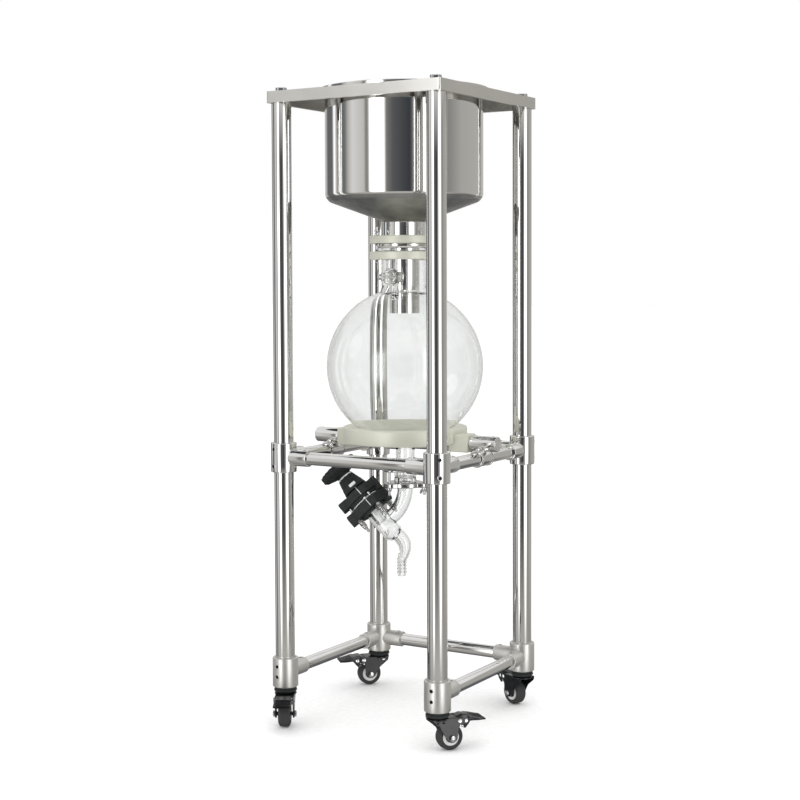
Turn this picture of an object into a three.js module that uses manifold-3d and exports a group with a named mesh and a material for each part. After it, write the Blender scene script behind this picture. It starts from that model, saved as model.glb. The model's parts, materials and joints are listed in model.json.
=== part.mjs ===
// A floor-standing laboratory vacuum filter: a steel filter funnel over a glass receiving
// flask with a glass drain valve, carried by a stainless tube frame on four braked casters.
// Millimetres, +Z up. The origin is on the floor, on the common axis of funnel and flask;
// -Y is the open front of the frame, +X its right side.
import * as THREE from 'three';
import { mergeVertices } from 'three/addons/utils/BufferGeometryUtils.js';
import Module from 'manifold-3d';

const wasm = await Module();
wasm.setup();

// ---------------------------------------------------------------- driving dimensions
const GAP = 0.3;                  // clearance left between pieces that touch
const HALF_SPAN = 171.5;          // half the distance between post axes
const POST_R = 19;
const POST_WALL = 1.5;
const POST_PLUG = 20;             // threaded plug welded into the top of a post
const RAIL_R = 12.5;
const RAIL_WALL = 1.5;
const TEE_R = 25;
const TEE_HEIGHT = 57;
const TEE_CHAMFER = 2;
const SOCKET_R = 16;
const SOCKET_REACH = 60;          // from the post axis to the mouth of a branch socket
const SOCKET_FLOOR = 27.5;        // from the post axis to the end of a rail
const MID_Z = 523;                // axis height of the middle rails
const LOW_Z = 102.8;                // axis height of the low rails
const POST_FOOT_Z = 74;

const PLATE_TOP_Z = 1227;
const PLATE_HALF = 192.5;
const PLATE_SHEET = 1.5;
const PLATE_SKIRT = 22;
const BOLT_SHANK_R = 5.8;
const BOLT_HEAD_R = 10.97;        // M12 hexagon across corners
const BOLT_HEAD_H = 7.5;

const BARREL_R = 155;
const BARREL_FOOT_Z = 1025;
const BARREL_WALL = 1.8;
const RIM_R = 166;
const RIM_H = 10;
const CONE_FOOT_Z = 979;
const STUB_R = 42;
const FUNNEL_FLANGE_R = 57;
const FUNNEL_FLANGE_Z = 931;      // underside of the flange
const FUNNEL_FLANGE_H = 5;
const DRIP_R = 30;
const DRIP_FOOT_Z = 800;
const DRIP_BEAD_Z = 843;
const LEDGE_Z = 1031;             // ledge that carries the filter plate
const LEDGE_R = 146;
const FILTER_R = 149.5;
const FILTER_H = 3;
const FILTER_HOLE_R = 3;

const FLASK_Z = 695.6;            // centre of the sphere
const FLASK_R = 154;
const FLASK_SIDES = 24;
const GLASS_WALL = 3.5;
const NECK_R = 44;
const NECK_TOP_Z = 928;
const NECK_FLANGE_Z = 921.3;
const NECK_FILLET = [[49, 148.7], [45, 156.7], [44, 165.7]];   // above the sphere's centre
const OUTLET_R = 19;
const OUTLET_FLANGE_R = 22;
const OUTLET_FOOT_Z = 478.2;
const OUTLET_FLANGE_H = 10;
const OUTLET_FILLET_Z = 534;      // where the outlet tube flares into the sphere

const CLAMP_R = 69;
const CLAMP_H = 15.7;
const CLAMP_STUD_R = 61.5;
const CLAMP_STUDS = [0, 120, 240];

const PORT = { x: 18, y: -64, z: 871.2 };    // centre of the vacuum stopcock
const PORT_BARREL_R = 10.5;
const PORT_PLUG_R = 6;

const RING_R = 122.5;
const RING_Z = 547;
const RING_H = 30;
const RING_BORE_R = 80;
const RING_SEAT_R = 99.5;
const RING_SEAT_H = 14.1;
const ROD_Z = 551;
const ROD_R = 10.5;
const EAR_ROOT = 112;
const EAR_END = 150;
const EAR_HALF = 18;
const EAR_RISE = 17.5;            // half the height of an ear about the rod's axis
const SLEEVE_R = 15;
const SLEEVE_END = 207;
const CROSS_R = 15.5;
const CROSS_HALF = 24;

const OUTLET_RING_STUDS = [10, 130, 250];
const OUTLET_STUD_R = 40;
const OUTLET_RING_R = 36;
const OUTLET_RING_H = 9;
const INLET_R = 15.5;             // glass inlet bend of the valve
const INLET_FLANGE_Z = 466.4;
const INLET_FLANGE_H = 9.6;

const VALVE_HEADING = 190;        // direction in which the valve leans, degrees from +X
const VALVE_TILT = 44;            // lean of its axis from the vertical, degrees
const VALVE_FOOT = { h: 25, z: 361.4 };    // lower end of the valve body on its axis
const VALVE_R = 19.5;
const VALVE_BORE = 16;
const VALVE_SEAT = 6.5;
const VALVE_FLANGE_R = 43;
const VALVE_BOLTS = [45, 135, 225, 315];
const VALVE_BOLT_R = 37;
const VALVE_STACK = {             // stations along the valve's axis from the body's lower end
  lowerFoot: 62, bodyTop: 84, upperFoot: 88.3, bonnetSeat: 95, upperTop: 116,
  bonnetTop: 160.5, knobFoot: 161, stemTop: 171, knobTop: 177,
};
const BARB_H = 8;                 // drain barb, from the vessel axis along the heading
const BARB_FOOT_Z = 277.5;
const VALVE_STEM_R = 7;
const KNOB_R = 41;
const LUG_AZIMUTH = 25;                 // lugs of the valve's clamp, from its downhill side
const LUG_HALF = 16;

const WHEEL_R = 25;
const WHEEL_HALF = 12;
const WHEEL_SIDES = 16;
const AXLE_R = 4;
const AXLE_Z = 25;
const CASTER_TRAIL = 22.5;        // from the swivel axis to the axle
const FORK_HALF = 18.5;
const FORK_SHEET = 2.5;
const FORK_TOP_Z = 62;
const KING_PIN_R = 4;
const PEDAL_PIVOT = { x: 37, z: 56 };

// --------------------------------------------------------------------------- finishes
function finish(color, roughness, metalness, opacity = 1) {
  const transparent = opacity < 1;
  return () => new THREE.MeshStandardMaterial({ color, roughness, metalness, opacity, transparent });
}
const polished = finish(0xd6d8d9, 0.08, 1);
const satin = finish(0xbcbab5, 0.32, 1);
const glass = finish(0xf2f6f6, 0.03, 0, 0.35);
const coated = finish(0xcdcec0, 0.5, 0);
const blackPlastic = finish(0x1b1d1f, 0.45, 0);
const blackPaint = finish(0x202226, 0.4, 0.3);
const tread = finish(0x333436, 0.65, 0);
const fluoro = finish(0xeef0ee, 0.4, 0);
const silicone = finish(0xe6e4dc, 0.6, 0);
const zinc = finish(0xc9ced2, 0.3, 1);

// --------------------------------------------------------------------- shape helpers
const rad = THREE.MathUtils.degToRad;

/** Solid of revolution about Z from [radius, height] pairs, anticlockwise in that plane. */
function revolve(profile, sides) {
  const closed = profile[0][0] > 0 ? [...profile, profile[0]] : profile;
  const points = closed.map(([r, z]) => new THREE.Vector2(r, z));
  return new THREE.LatheGeometry(points, sides).rotateX(Math.PI / 2);
}

/** Round bar or disc about Z, from one height to another. */
function bar(radius, z0, z1, sides) {
  return revolve([[0, z0], [radius, z0], [radius, z1], [0, z1]], sides);
}

/** Tube or washer about Z. */
function tube(outer, inner, z0, z1, sides) {
  return revolve([[outer, z0], [outer, z1], [inner, z1], [inner, z0]], sides);
}

/** Box given by its lowest and highest corner. */
function block(lo, hi) {
  const size = hi.map((v, i) => v - lo[i]);
  return new THREE.BoxGeometry(...size).translate(...lo.map((v, i) => v + size[i] / 2));
}

/** Plate of an outline in X and Z, standing across Y between two values. */
function platePiece(outline, y0, y1) {
  const shape = new THREE.Shape(outline.map(([x, z]) => new THREE.Vector2(x, z)));
  const flat = new THREE.ExtrudeGeometry(shape, { depth: y1 - y0, bevelEnabled: false });
  return flat.rotateX(Math.PI / 2).translate(0, y1, 0);
}

/** Round tube core swept along a curve. */
function sweep(curve, radius, sides, steps) {
  const section = new THREE.Shape();
  section.absarc(0, 0, radius, 0, 2 * Math.PI);
  return new THREE.ExtrudeGeometry(section, {
    extrudePath: curve, steps, curveSegments: sides, bevelEnabled: false });
}

/** Arc of a circle as [radius, height] pairs about a centre on the axis. */
function arc(centreZ, radius, fromDeg, toDeg, steps) {
  return Array.from({ length: steps + 1 }, (_, i) => {
    const a = rad(fromDeg + (toDeg - fromDeg) * i / steps);
    return [radius * Math.cos(a), centreZ + radius * Math.sin(a)];
  });
}

/** Latitude, in degrees, where a sphere has the given distance from its axis. */
const latitude = (sphereR, r) => THREE.MathUtils.radToDeg(Math.acos(r / sphereR));

// ------------------------------------------------------------------ cutting and joining
function solid(geometry) {
  const bare = geometry.clone();
  bare.deleteAttribute('normal');
  bare.deleteAttribute('uv');
  const merged = mergeVertices(bare, 1e-4);
  const index = merged.index.array;
  const kept = [];
  for (let i = 0; i < index.length; i += 3) {
    const [a, b, c] = [index[i], index[i + 1], index[i + 2]];
    if (a !== b && b !== c && c !== a) kept.push(a, b, c);
  }
  return new wasm.Manifold(new wasm.Mesh({
    numProp: 3,
    vertProperties: Float32Array.from(merged.attributes.position.array),
    triVerts: Uint32Array.from(kept),
  }));
}

function geometryOf(manifold) {
  const mesh = manifold.getMesh();
  const geometry = new THREE.BufferGeometry();
  geometry.setAttribute('position', new THREE.BufferAttribute(mesh.vertProperties, 3));
  geometry.setIndex(new THREE.BufferAttribute(mesh.triVerts, 1));
  geometry.computeVertexNormals();
  return geometry;
}

/** Joins the first list of geometries and cuts the second list out of the result. */
function carve(joined, removed = []) {
  let body = solid(joined[0]);
  for (const g of joined.slice(1)) body = body.add(solid(g));
  for (const g of removed) body = body.subtract(solid(g));
  return geometryOf(body);
}

// ------------------------------------------------------------------------------ scene
const assembly = new THREE.Group();

function piece(name, geometry, material, parent = assembly) {
  const mesh = new THREE.Mesh(geometry, material());
  mesh.name = name;
  parent.add(mesh);
  return mesh;
}

const CORNERS = [
  { name: 'front_left', sx: -1, sy: -1, lowSides: ['y'], heading: 301 },
  { name: 'front_right', sx: 1, sy: -1, lowSides: ['y'], heading: 51 },
  { name: 'back_right', sx: 1, sy: 1, lowSides: ['x', 'y'], heading: 158 },
  { name: 'back_left', sx: -1, sy: 1, lowSides: ['x', 'y'], heading: 226 },
];

// ------------------------------------------------------------------------------ frame
function postGeometry() {
  const top = PLATE_TOP_Z - PLATE_SHEET - GAP;
  const bore = BOLT_SHANK_R + GAP;
  const inner = POST_R - POST_WALL;
  return revolve([
    [POST_R, POST_FOOT_Z], [POST_R, top], [bore, top], [bore, top - POST_PLUG],
    [inner, top - POST_PLUG], [inner, POST_FOOT_Z],
  ], 18);
}

/** Bar along +X or +Y times a sign, from one distance to another, at the origin's height. */
function sideBar(side, sign, radius, from, to, sides) {
  const along = bar(radius, from, to, sides);
  return side === 'x' ? along.rotateY(sign * Math.PI / 2) : along.rotateX(-sign * Math.PI / 2);
}

/** Slip-on tee: a sleeve round a post with a socket towards each neighbouring post. */
function teeGeometry(corner, sides) {
  const half = TEE_HEIGHT / 2;
  const edge = TEE_R - TEE_CHAMFER;
  const sleeve = revolve([
    [0, -half], [edge, -half], [TEE_R, TEE_CHAMFER - half],
    [TEE_R, half - TEE_CHAMFER], [edge, half], [0, half],
  ], 18);
  const signs = { x: -corner.sx, y: -corner.sy };
  const sockets = sides.map((s) => sideBar(s, signs[s], SOCKET_R, 0, SOCKET_REACH, 14));
  const bores = sides.map((s) => sideBar(
    s, signs[s], RAIL_R + GAP, SOCKET_FLOOR - GAP, SOCKET_REACH + 1, 14));
  return carve([sleeve, ...sockets], [bar(POST_R + GAP, -half - 1, half + 1, 18), ...bores]);
}

function railGeometry(side) {
  const half = HALF_SPAN - SOCKET_FLOOR;
  const along = tube(RAIL_R, RAIL_R - RAIL_WALL, -half, half, 14);
  return side === 'x' ? along.rotateY(Math.PI / 2) : along.rotateX(-Math.PI / 2);
}

function postBoltGeometry() {
  const head = new THREE.CylinderGeometry(BOLT_HEAD_R, BOLT_HEAD_R, BOLT_HEAD_H, 6)
    .rotateX(Math.PI / 2).translate(0, 0, GAP + BOLT_HEAD_H / 2);
  return carve([head, bar(BOLT_SHANK_R, -18, GAP + 1, 12)]);
}

/** Folded tray turned upside down, with the hole that the funnel hangs in. */
function topPlateGeometry() {
  const [h, inner] = [PLATE_HALF, PLATE_HALF - PLATE_SHEET];
  const outerBox = block([-h, -h, PLATE_TOP_Z - PLATE_SKIRT], [h, h, PLATE_TOP_Z]);
  const innerBox = block(
    [-inner, -inner, PLATE_TOP_Z - PLATE_SKIRT - 1], [inner, inner, PLATE_TOP_Z - PLATE_SHEET]);
  const hole = bar(BARREL_R + 1.3, PLATE_TOP_Z - 5, PLATE_TOP_Z + 5, 32);
  const boltHoles = CORNERS.map((c) => bar(BOLT_SHANK_R + GAP, PLATE_TOP_Z - 5, PLATE_TOP_Z + 5, 12)
    .translate(c.sx * HALF_SPAN, c.sy * HALF_SPAN, 0));
  return carve([outerBox], [innerBox, hole, ...boltHoles]);
}

function addFrame() {
  for (const c of CORNERS) {
    const [x, y] = [c.sx * HALF_SPAN, c.sy * HALF_SPAN];
    piece(`post_${c.name}`, postGeometry(), polished).position.set(x, y, 0);
    piece(`mid_tee_${c.name}`, teeGeometry(c, ['x', 'y']), polished).position.set(x, y, MID_Z);
    piece(`low_tee_${c.name}`, teeGeometry(c, c.lowSides), satin).position.set(x, y, LOW_Z);
    piece(`post_bolt_${c.name}`, postBoltGeometry(), zinc).position.set(x, y, PLATE_TOP_Z);
  }
  const rails = [
    ['front', 'x', 0, -1], ['back', 'x', 0, 1], ['left', 'y', -1, 0], ['right', 'y', 1, 0]];
  for (const [name, side, sx, sy] of rails) {
    const [x, y] = [sx * HALF_SPAN, sy * HALF_SPAN];
    piece(`mid_rail_${name}`, railGeometry(side), polished).position.set(x, y, MID_Z);
    if (name !== 'front') {
      piece(`low_rail_${name}`, railGeometry(side), polished).position.set(x, y, LOW_Z);
    }
  }
  piece('top_plate', topPlateGeometry(), satin);
}

// ---------------------------------------------------------------------------- casters
/** Expander plug in the post's foot with the upper bearing cup of the swivel under it. */
function casterMountGeometry() {
  const plug = POST_R - POST_WALL - GAP;
  const top = POST_FOOT_Z - GAP;
  return revolve([
    [0, 71.5], [KING_PIN_R + GAP, 71.5], [KING_PIN_R + GAP, 63], [19, 63], [22.5, 68], [19.5, top],
    [plug, top], [plug, POST_FOOT_Z + 24], [0, POST_FOOT_Z + 24],
  ], 14);
}

/** Swivel fork with its axle and pedal pin, trail along +X. */
function forkGeometry() {
  const cheek = [
    [-17, 62], [-15, 54], [9, 33], [13.5, 21], [22.5, 16], [31.5, 21], [33, 30],
    [34, 46], [42, 50], [43, 62]];
  const inner = FORK_HALF - FORK_SHEET;
  const bridgeZ = FORK_TOP_Z - 4;
  const race = bar(21.5, bridgeZ, FORK_TOP_Z + 0.6, 16);
  const kingPin = bar(KING_PIN_R, FORK_TOP_Z, 71, 8);
  const bridge = block([-10, -FORK_HALF, bridgeZ], [30, FORK_HALF, FORK_TOP_Z - GAP]);
  const cheeks = [1, -1].map((s) => platePiece(
    cheek, Math.min(s * inner, s * FORK_HALF), Math.max(s * inner, s * FORK_HALF)));
  const across = (r, y0, y1, x, z, sides) => bar(r, y0, y1, sides).rotateX(Math.PI / 2)
    .translate(x, 0, z);
  const nuts = [[inner + 1, 23.5], [-23.5, -inner - 1]].map(([y0, y1]) => across(
    6.2, y0, y1, CASTER_TRAIL, AXLE_Z, 6));
  return carve([
    race, kingPin, bridge, ...cheeks, ...nuts,
    across(AXLE_R, -20, 20, CASTER_TRAIL, AXLE_Z, 10),
    across(2.5, -19.5, 19.5, PEDAL_PIVOT.x, PEDAL_PIVOT.z, 6),
  ]);
}

function wheelGeometry() {
  const w = WHEEL_HALF;
  const outer = WHEEL_R / Math.cos(Math.PI / WHEEL_SIDES);
  const profile = [
    [AXLE_R + 0.6, 2.5 - w], [15.5, 2.5 - w], [16.5, -w], [22.5, -w], [outer, 3.5 - w],
    [outer, w - 3.5], [22.5, w], [16.5, w], [15.5, w - 2.5], [AXLE_R + 0.6, w - 2.5]];
  return revolve(profile, WHEEL_SIDES).rotateZ(Math.PI / WHEEL_SIDES).rotateX(Math.PI / 2);
}

/** Foot pedal of the brake, with its hub on the fork's pin; measured from that pin. */
function pedalGeometry() {
  const arm = [
    [-4.6, -3], [-1, -5], [7, -5], [10, -8.5], [17, -8.5], [22, -2.5], [40, -3.5], [51.5, -3],
    [51.5, 0.5], [41, 2.5], [26, 6.5], [8, 9], [-3, 5]];
  const toe = [[17, 3], [26, 2.5], [40, -1.5], [51.5, -2], [51.5, 0.5], [41, 2.5], [26, 6.5], [17, 7.8]];
  const hub = bar(2.5 + GAP, -20, 20, 6).rotateX(Math.PI / 2);
  return carve([platePiece(arm, -14.5, 14.5), platePiece(toe, -17.5, 17.5)], [hub]);
}

function addCasters() {
  for (const c of CORNERS) {
    const swivel = new THREE.Group();
    swivel.position.set(c.sx * HALF_SPAN, c.sy * HALF_SPAN, 0);
    assembly.add(swivel);
    piece(`caster_mount_${c.name}`, casterMountGeometry(), blackPaint, swivel);
    const trail = new THREE.Group();
    trail.rotation.z = rad(c.heading);
    swivel.add(trail);
    piece(`caster_fork_${c.name}`, forkGeometry(), blackPaint, trail);
    piece(`caster_wheel_${c.name}`, wheelGeometry(), tread, trail)
      .position.set(CASTER_TRAIL, 0, AXLE_Z);
    piece(`caster_pedal_${c.name}`, pedalGeometry(), blackPaint, trail)
      .position.set(PEDAL_PIVOT.x, 0, PEDAL_PIVOT.z);
  }
}

// ----------------------------------------------------------------------------- funnel
function funnelGeometry() {
  const rimFoot = PLATE_TOP_Z + GAP;
  const rimTop = rimFoot + RIM_H;
  const flangeTop = FUNNEL_FLANGE_Z + FUNNEL_FLANGE_H;
  const dripBore = DRIP_R - BARREL_WALL;
  const outside = [
    [DRIP_R, DRIP_FOOT_Z], [DRIP_R, DRIP_BEAD_Z - 3], [DRIP_R + 1.5, DRIP_BEAD_Z],
    [DRIP_R, DRIP_BEAD_Z + 3], [DRIP_R, FUNNEL_FLANGE_Z],
    [FUNNEL_FLANGE_R, FUNNEL_FLANGE_Z], [FUNNEL_FLANGE_R, flangeTop], [STUB_R, flangeTop],
    [STUB_R, CONE_FOOT_Z - 1], [STUB_R + 3, CONE_FOOT_Z + 1], [BARREL_R - 6, BARREL_FOOT_Z - 6],
    [BARREL_R, BARREL_FOOT_Z], [BARREL_R, rimFoot], [RIM_R, rimFoot], [RIM_R, rimTop]];
  const barrelBore = BARREL_R - BARREL_WALL;
  const inside = [
    [barrelBore, rimTop], [barrelBore, LEDGE_Z], [LEDGE_R, LEDGE_Z], [LEDGE_R, LEDGE_Z - 10],
    [STUB_R + 1, CONE_FOOT_Z + 3], [STUB_R - BARREL_WALL, CONE_FOOT_Z],
    [STUB_R - BARREL_WALL, flangeTop - 2], [dripBore, flangeTop - 4], [dripBore, DRIP_FOOT_Z]];
  return revolve([...outside, ...inside], 32);
}

/** Perforated plate: a hole in the middle and rings of holes round it. */
function filterPlateGeometry() {
  const z = LEDGE_Z + GAP;
  const hole = () => bar(FILTER_HOLE_R, z - 1, z + FILTER_H + 1, 6);
  const holes = [1, 2, 3].flatMap((ring) => Array.from({ length: 4 * ring }, (_, i) => {
    const a = 2 * Math.PI * i / (4 * ring);
    return hole().translate(42 * ring * Math.cos(a), 42 * ring * Math.sin(a), 0);
  }));
  return carve([bar(FILTER_R, z, z + FILTER_H, 32)], holes);
}

function addFunnel() {
  piece('funnel', funnelGeometry(), polished);
  piece('filter_plate', filterPlateGeometry(), polished);
  piece('filter_seal', tube(
    BARREL_R - BARREL_WALL - GAP, FILTER_R + GAP, LEDGE_Z + GAP, LEDGE_Z + 5, 32), silicone);
}

// ------------------------------------------------------------------------------ clamp
/** Flat ring with holes for three studs. */
function studRing(outer, inner, z0, z1, studR, angles, holeR) {
  const holes = angles.map((a) => bar(holeR, z0 - 1, z1 + 1, 8)
    .translate(studR * Math.cos(rad(a)), studR * Math.sin(rad(a)), 0));
  return carve([tube(outer, inner, z0, z1, 24)], holes);
}

function addNeckClamp() {
  const upperZ = FUNNEL_FLANGE_Z + FUNNEL_FLANGE_H + GAP;
  const lowerZ = NECK_FLANGE_Z - GAP - CLAMP_H;
  piece('upper_clamp_ring', studRing(
    CLAMP_R, STUB_R + 1, upperZ, upperZ + CLAMP_H, CLAMP_STUD_R, CLAMP_STUDS, 3.4), coated);
  piece('lower_clamp_ring', studRing(
    CLAMP_R, NECK_R + 1, lowerZ, lowerZ + CLAMP_H, CLAMP_STUD_R, CLAMP_STUDS, 3.4), coated);
  piece('neck_gasket', tube(
    FUNNEL_FLANGE_R - 2, 41, NECK_TOP_Z + GAP, FUNNEL_FLANGE_Z - GAP, 24), silicone);
}

// ------------------------------------------------------------------------------ flask
function flaskShell() {
  const innerR = FLASK_R - GLASS_WALL;
  const flangeTop = OUTLET_FOOT_Z + OUTLET_FLANGE_H;
  const outside = [
    [OUTLET_FLANGE_R, OUTLET_FOOT_Z], [OUTLET_FLANGE_R, flangeTop], [OUTLET_R, flangeTop],
    [OUTLET_R, OUTLET_FILLET_Z],
    ...arc(FLASK_Z, FLASK_R, -latitude(FLASK_R, 27), latitude(FLASK_R, 60), 10),
    ...NECK_FILLET.map(([r, up]) => [r, FLASK_Z + up]), [NECK_R, NECK_FLANGE_Z],
    [FUNNEL_FLANGE_R, NECK_FLANGE_Z], [FUNNEL_FLANGE_R, NECK_TOP_Z]];
  const bore = NECK_R - GLASS_WALL;
  const inside = [
    [bore, NECK_TOP_Z], ...NECK_FILLET.map(([r, up]) => [r - GLASS_WALL, FLASK_Z + up]).reverse(),
    ...arc(FLASK_Z, innerR, latitude(innerR, 58), -latitude(innerR, 24), 10),
    [OUTLET_R - GLASS_WALL, OUTLET_FILLET_Z], [OUTLET_R - GLASS_WALL, OUTLET_FOOT_Z]];
  return revolve([...outside, ...inside], FLASK_SIDES);
}

/** Glass stopcock on the shoulder: stub, cross barrel and hose barb. */
function flaskGeometry() {
  const { x, y, z } = PORT;
  const stub = bar(7, -44, 0, 10).translate(x, y, z);
  const barrel = bar(PORT_BARREL_R, -12, 12, 14).rotateX(Math.PI / 2).translate(x, y, z);
  const barb = revolve([
    [0, 0], [5.5, 0], [5.5, 22], [7.5, 25], [5.5, 30], [7.5, 33], [5.2, 38], [0, 38],
  ], 10).rotateY(-Math.PI / 2).translate(x, y, z);
  const plugBore = bar(PORT_PLUG_R + GAP, -14, 14, 20).rotateX(Math.PI / 2).translate(x, y, z);
  const stubBore = bar(3.2, -52, 0, 6).translate(x, y, z);
  const barbBore = bar(2.8, 0, 40, 6).rotateY(-Math.PI / 2).translate(x, y, z);
  return carve([flaskShell(), stub, barrel, barb], [plugBore, stubBore, barbBore]);
}

/** Plug of the stopcock: a key through the barrel with a round thumb disc in front. */
function portPlugGeometry() {
  return revolve([
    [0, -14], [PORT_PLUG_R, -14], [PORT_PLUG_R, 13], [17, 14], [17, 19], [10, 20], [9, 16],
    [0, 16]], 14).rotateX(Math.PI / 2);
}

function addFlask() {
  piece('flask', flaskGeometry(), glass);
  piece('port_plug', portPlugGeometry(), glass).position.set(PORT.x, PORT.y, PORT.z);
}

// ----------------------------------------------------------------------- support ring
function supportRingGeometry() {
  const top = RING_Z + RING_H;
  const ring = revolve([
    [RING_R, RING_Z], [RING_R, top], [RING_SEAT_R, top], [RING_BORE_R, top - RING_SEAT_H],
    [RING_BORE_R, RING_Z]], 32);
  const ears = [1, -1].flatMap((s) => [
    block([Math.min(s * EAR_ROOT, s * EAR_END), -EAR_HALF, ROD_Z - EAR_RISE],
      [Math.max(s * EAR_ROOT, s * EAR_END), EAR_HALF, ROD_Z + EAR_RISE]),
    bar(ROD_R, EAR_END - 8, SLEEVE_END - 3, 12).rotateY(s * Math.PI / 2).translate(0, 0, ROD_Z),
  ]);
  return carve([ring, ...ears]);
}

/** Cross clamp: a sleeve on the side rail and, over it, a sleeve for the ring's rod. */
function railClampGeometry(sign) {
  const across = bar(SLEEVE_R, EAR_END + GAP, SLEEVE_END, 16).rotateY(sign * Math.PI / 2)
    .translate(0, 0, ROD_Z);
  const along = bar(CROSS_R, -CROSS_HALF, CROSS_HALF, 16).rotateX(Math.PI / 2)
    .translate(sign * HALF_SPAN, 0, MID_Z);
  const neck = block([sign * HALF_SPAN - 11, -11, MID_Z + 8], [sign * HALF_SPAN + 11, 11, ROD_Z - 8]);
  const rodBore = bar(ROD_R + GAP, EAR_END - 5, SLEEVE_END + 5, 12).rotateY(sign * Math.PI / 2)
    .translate(0, 0, ROD_Z);
  const railBore = bar(RAIL_R + GAP, -CROSS_HALF - 2, CROSS_HALF + 2, 14).rotateX(Math.PI / 2)
    .translate(sign * HALF_SPAN, 0, MID_Z);
  return carve([across, along, neck], [rodBore, railBore]);
}

function addSupportRing() {
  piece('support_ring', supportRingGeometry(), coated);
  piece('rail_clamp_left', railClampGeometry(-1), polished);
  piece('rail_clamp_right', railClampGeometry(1), polished);
}

// ------------------------------------------------------------------------ outlet clamp
/** Steel ring with three rounded lobes that carry the studs. */
function lobedRing(inner, z0, z1) {
  const at = (g, a) => g.translate(OUTLET_STUD_R * Math.cos(rad(a)), OUTLET_STUD_R * Math.sin(rad(a)), 0);
  const lobes = OUTLET_RING_STUDS.map((a) => at(bar(8, z0, z1, 10), a));
  const webs = OUTLET_RING_STUDS.map((a) => block([0, -8, z0], [OUTLET_STUD_R, 8, z1]).rotateZ(rad(a)));
  const holes = OUTLET_RING_STUDS.map((a) => at(bar(2.9, z0 - 1, z1 + 1, 6), a));
  const rim = bar(OUTLET_RING_R, z0, z1, 20);
  return carve([rim, ...webs, ...lobes], [bar(inner, z0 - 1, z1 + 1, 20), ...holes]);
}

function addOutletClamp() {
  const upperZ = OUTLET_FOOT_Z + OUTLET_FLANGE_H + GAP;
  const lowerZ = INLET_FLANGE_Z - GAP - OUTLET_RING_H;
  piece('outlet_ring_upper', lobedRing(OUTLET_R + GAP + 0.3, upperZ, upperZ + OUTLET_RING_H), satin);
  piece('outlet_ring_lower', lobedRing(INLET_R + 2, lowerZ, lowerZ + OUTLET_RING_H), satin);
}

// -------------------------------------------------------------------------- drain valve
/** Quadratic curve in the valve's upright plane, from [distance, height] pairs. */
function planeCurve(...points) {
  return new THREE.QuadraticBezierCurve3(...points.map(([h, z]) => new THREE.Vector3(h, 0, z)));
}

/** Turns a solid about the valve's own axis into its upright plane. */
function leaned(geometry) {
  return geometry.rotateY(rad(VALVE_TILT)).translate(VALVE_FOOT.h, 0, VALVE_FOOT.z);
}

/** Glass body: flanged inlet bend, leaning barrel with the seat, elbow and hose barb. */
function valveBodyGeometry() {
  const inletTop = INLET_FLANGE_Z + INLET_FLANGE_H;
  const flange = VALVE_STACK.bodyTop - 7;
  const inlet = sweep(planeCurve([0, inletTop - 4], [-2, 414], [46, 384]), INLET_R, 6, 5);
  const inletBore = sweep(planeCurve([0, inletTop - 3], [-2, 414], [44, 386]), INLET_R - GLASS_WALL, 5, 5);
  const elbow = sweep(planeCurve([28, 366], [-17, 342], [8, 306]), 12, 6, 5);
  const elbowBore = sweep(planeCurve([26, 364], [-17, 342], [8, 310]), 8, 5, 5);
  const barb = revolve([
    [0, BARB_FOOT_Z], [8.5, BARB_FOOT_Z], [9.6, BARB_FOOT_Z + 6], [8.2, BARB_FOOT_Z + 9],
    [9.6, BARB_FOOT_Z + 15], [8.2, BARB_FOOT_Z + 18], [9.6, BARB_FOOT_Z + 24],
    [9, BARB_FOOT_Z + 40], [0, BARB_FOOT_Z + 40]], 12).translate(BARB_H, 0, 0);
  const barrel = revolve([
    [0, -9], [10.5, -9], [VALVE_R, 3], [VALVE_R, flange - 1], [26, flange],
    [26, VALVE_STACK.bodyTop], [0, VALVE_STACK.bodyTop]], 20);
  const bore = revolve([
    [0, -12], [VALVE_SEAT, -12], [VALVE_SEAT, 5], [VALVE_BORE, 14], [VALVE_BORE, 90], [0, 90]], 20);
  return carve([
    bar(OUTLET_FLANGE_R, INLET_FLANGE_Z, inletTop, 20), inlet, leaned(barrel), elbow, barb,
  ], [
    inletBore, bar(INLET_R - GLASS_WALL, inletTop - 8, inletTop + 1, 10), leaned(bore), elbowBore,
    bar(5.5, BARB_FOOT_Z - 2, BARB_FOOT_Z + 36, 8).translate(BARB_H, 0, 0),
  ]);
}

/** Slots in a flange rim for the four spring bolts. */
function boltSlots(z0, z1) {
  return VALVE_BOLTS.map((a) => block(
    [VALVE_BOLT_R - 4, -4, z0], [VALVE_FLANGE_R + 5, 4, z1]).rotateZ(rad(a)));
}

/** Block that stands out of a flange's rim from inner to outer, at an azimuth. */
function clampLug(azimuth, inner, outer, z0, z1) {
  return block([inner, -LUG_HALF, z0], [outer, LUG_HALF, z1]).rotateZ(rad(azimuth));
}

function lowerFlangeGeometry() {
  const { lowerFoot, bodyTop } = VALVE_STACK;
  const seat = bodyTop - 7 - GAP - 1;
  const body = revolve([
    [VALVE_R + GAP, lowerFoot - 3.5], [30, lowerFoot - 3.5], [31, lowerFoot],
    [VALVE_FLANGE_R, lowerFoot], [VALVE_FLANGE_R, bodyTop], [26 + GAP, bodyTop],
    [26 + GAP, seat], [VALVE_R + GAP, seat]], 24);
  const lug = clampLug(LUG_AZIMUTH, 34, 52, lowerFoot, bodyTop);
  return carve([body, lug], boltSlots(lowerFoot - 8, bodyTop + 3));
}

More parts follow.
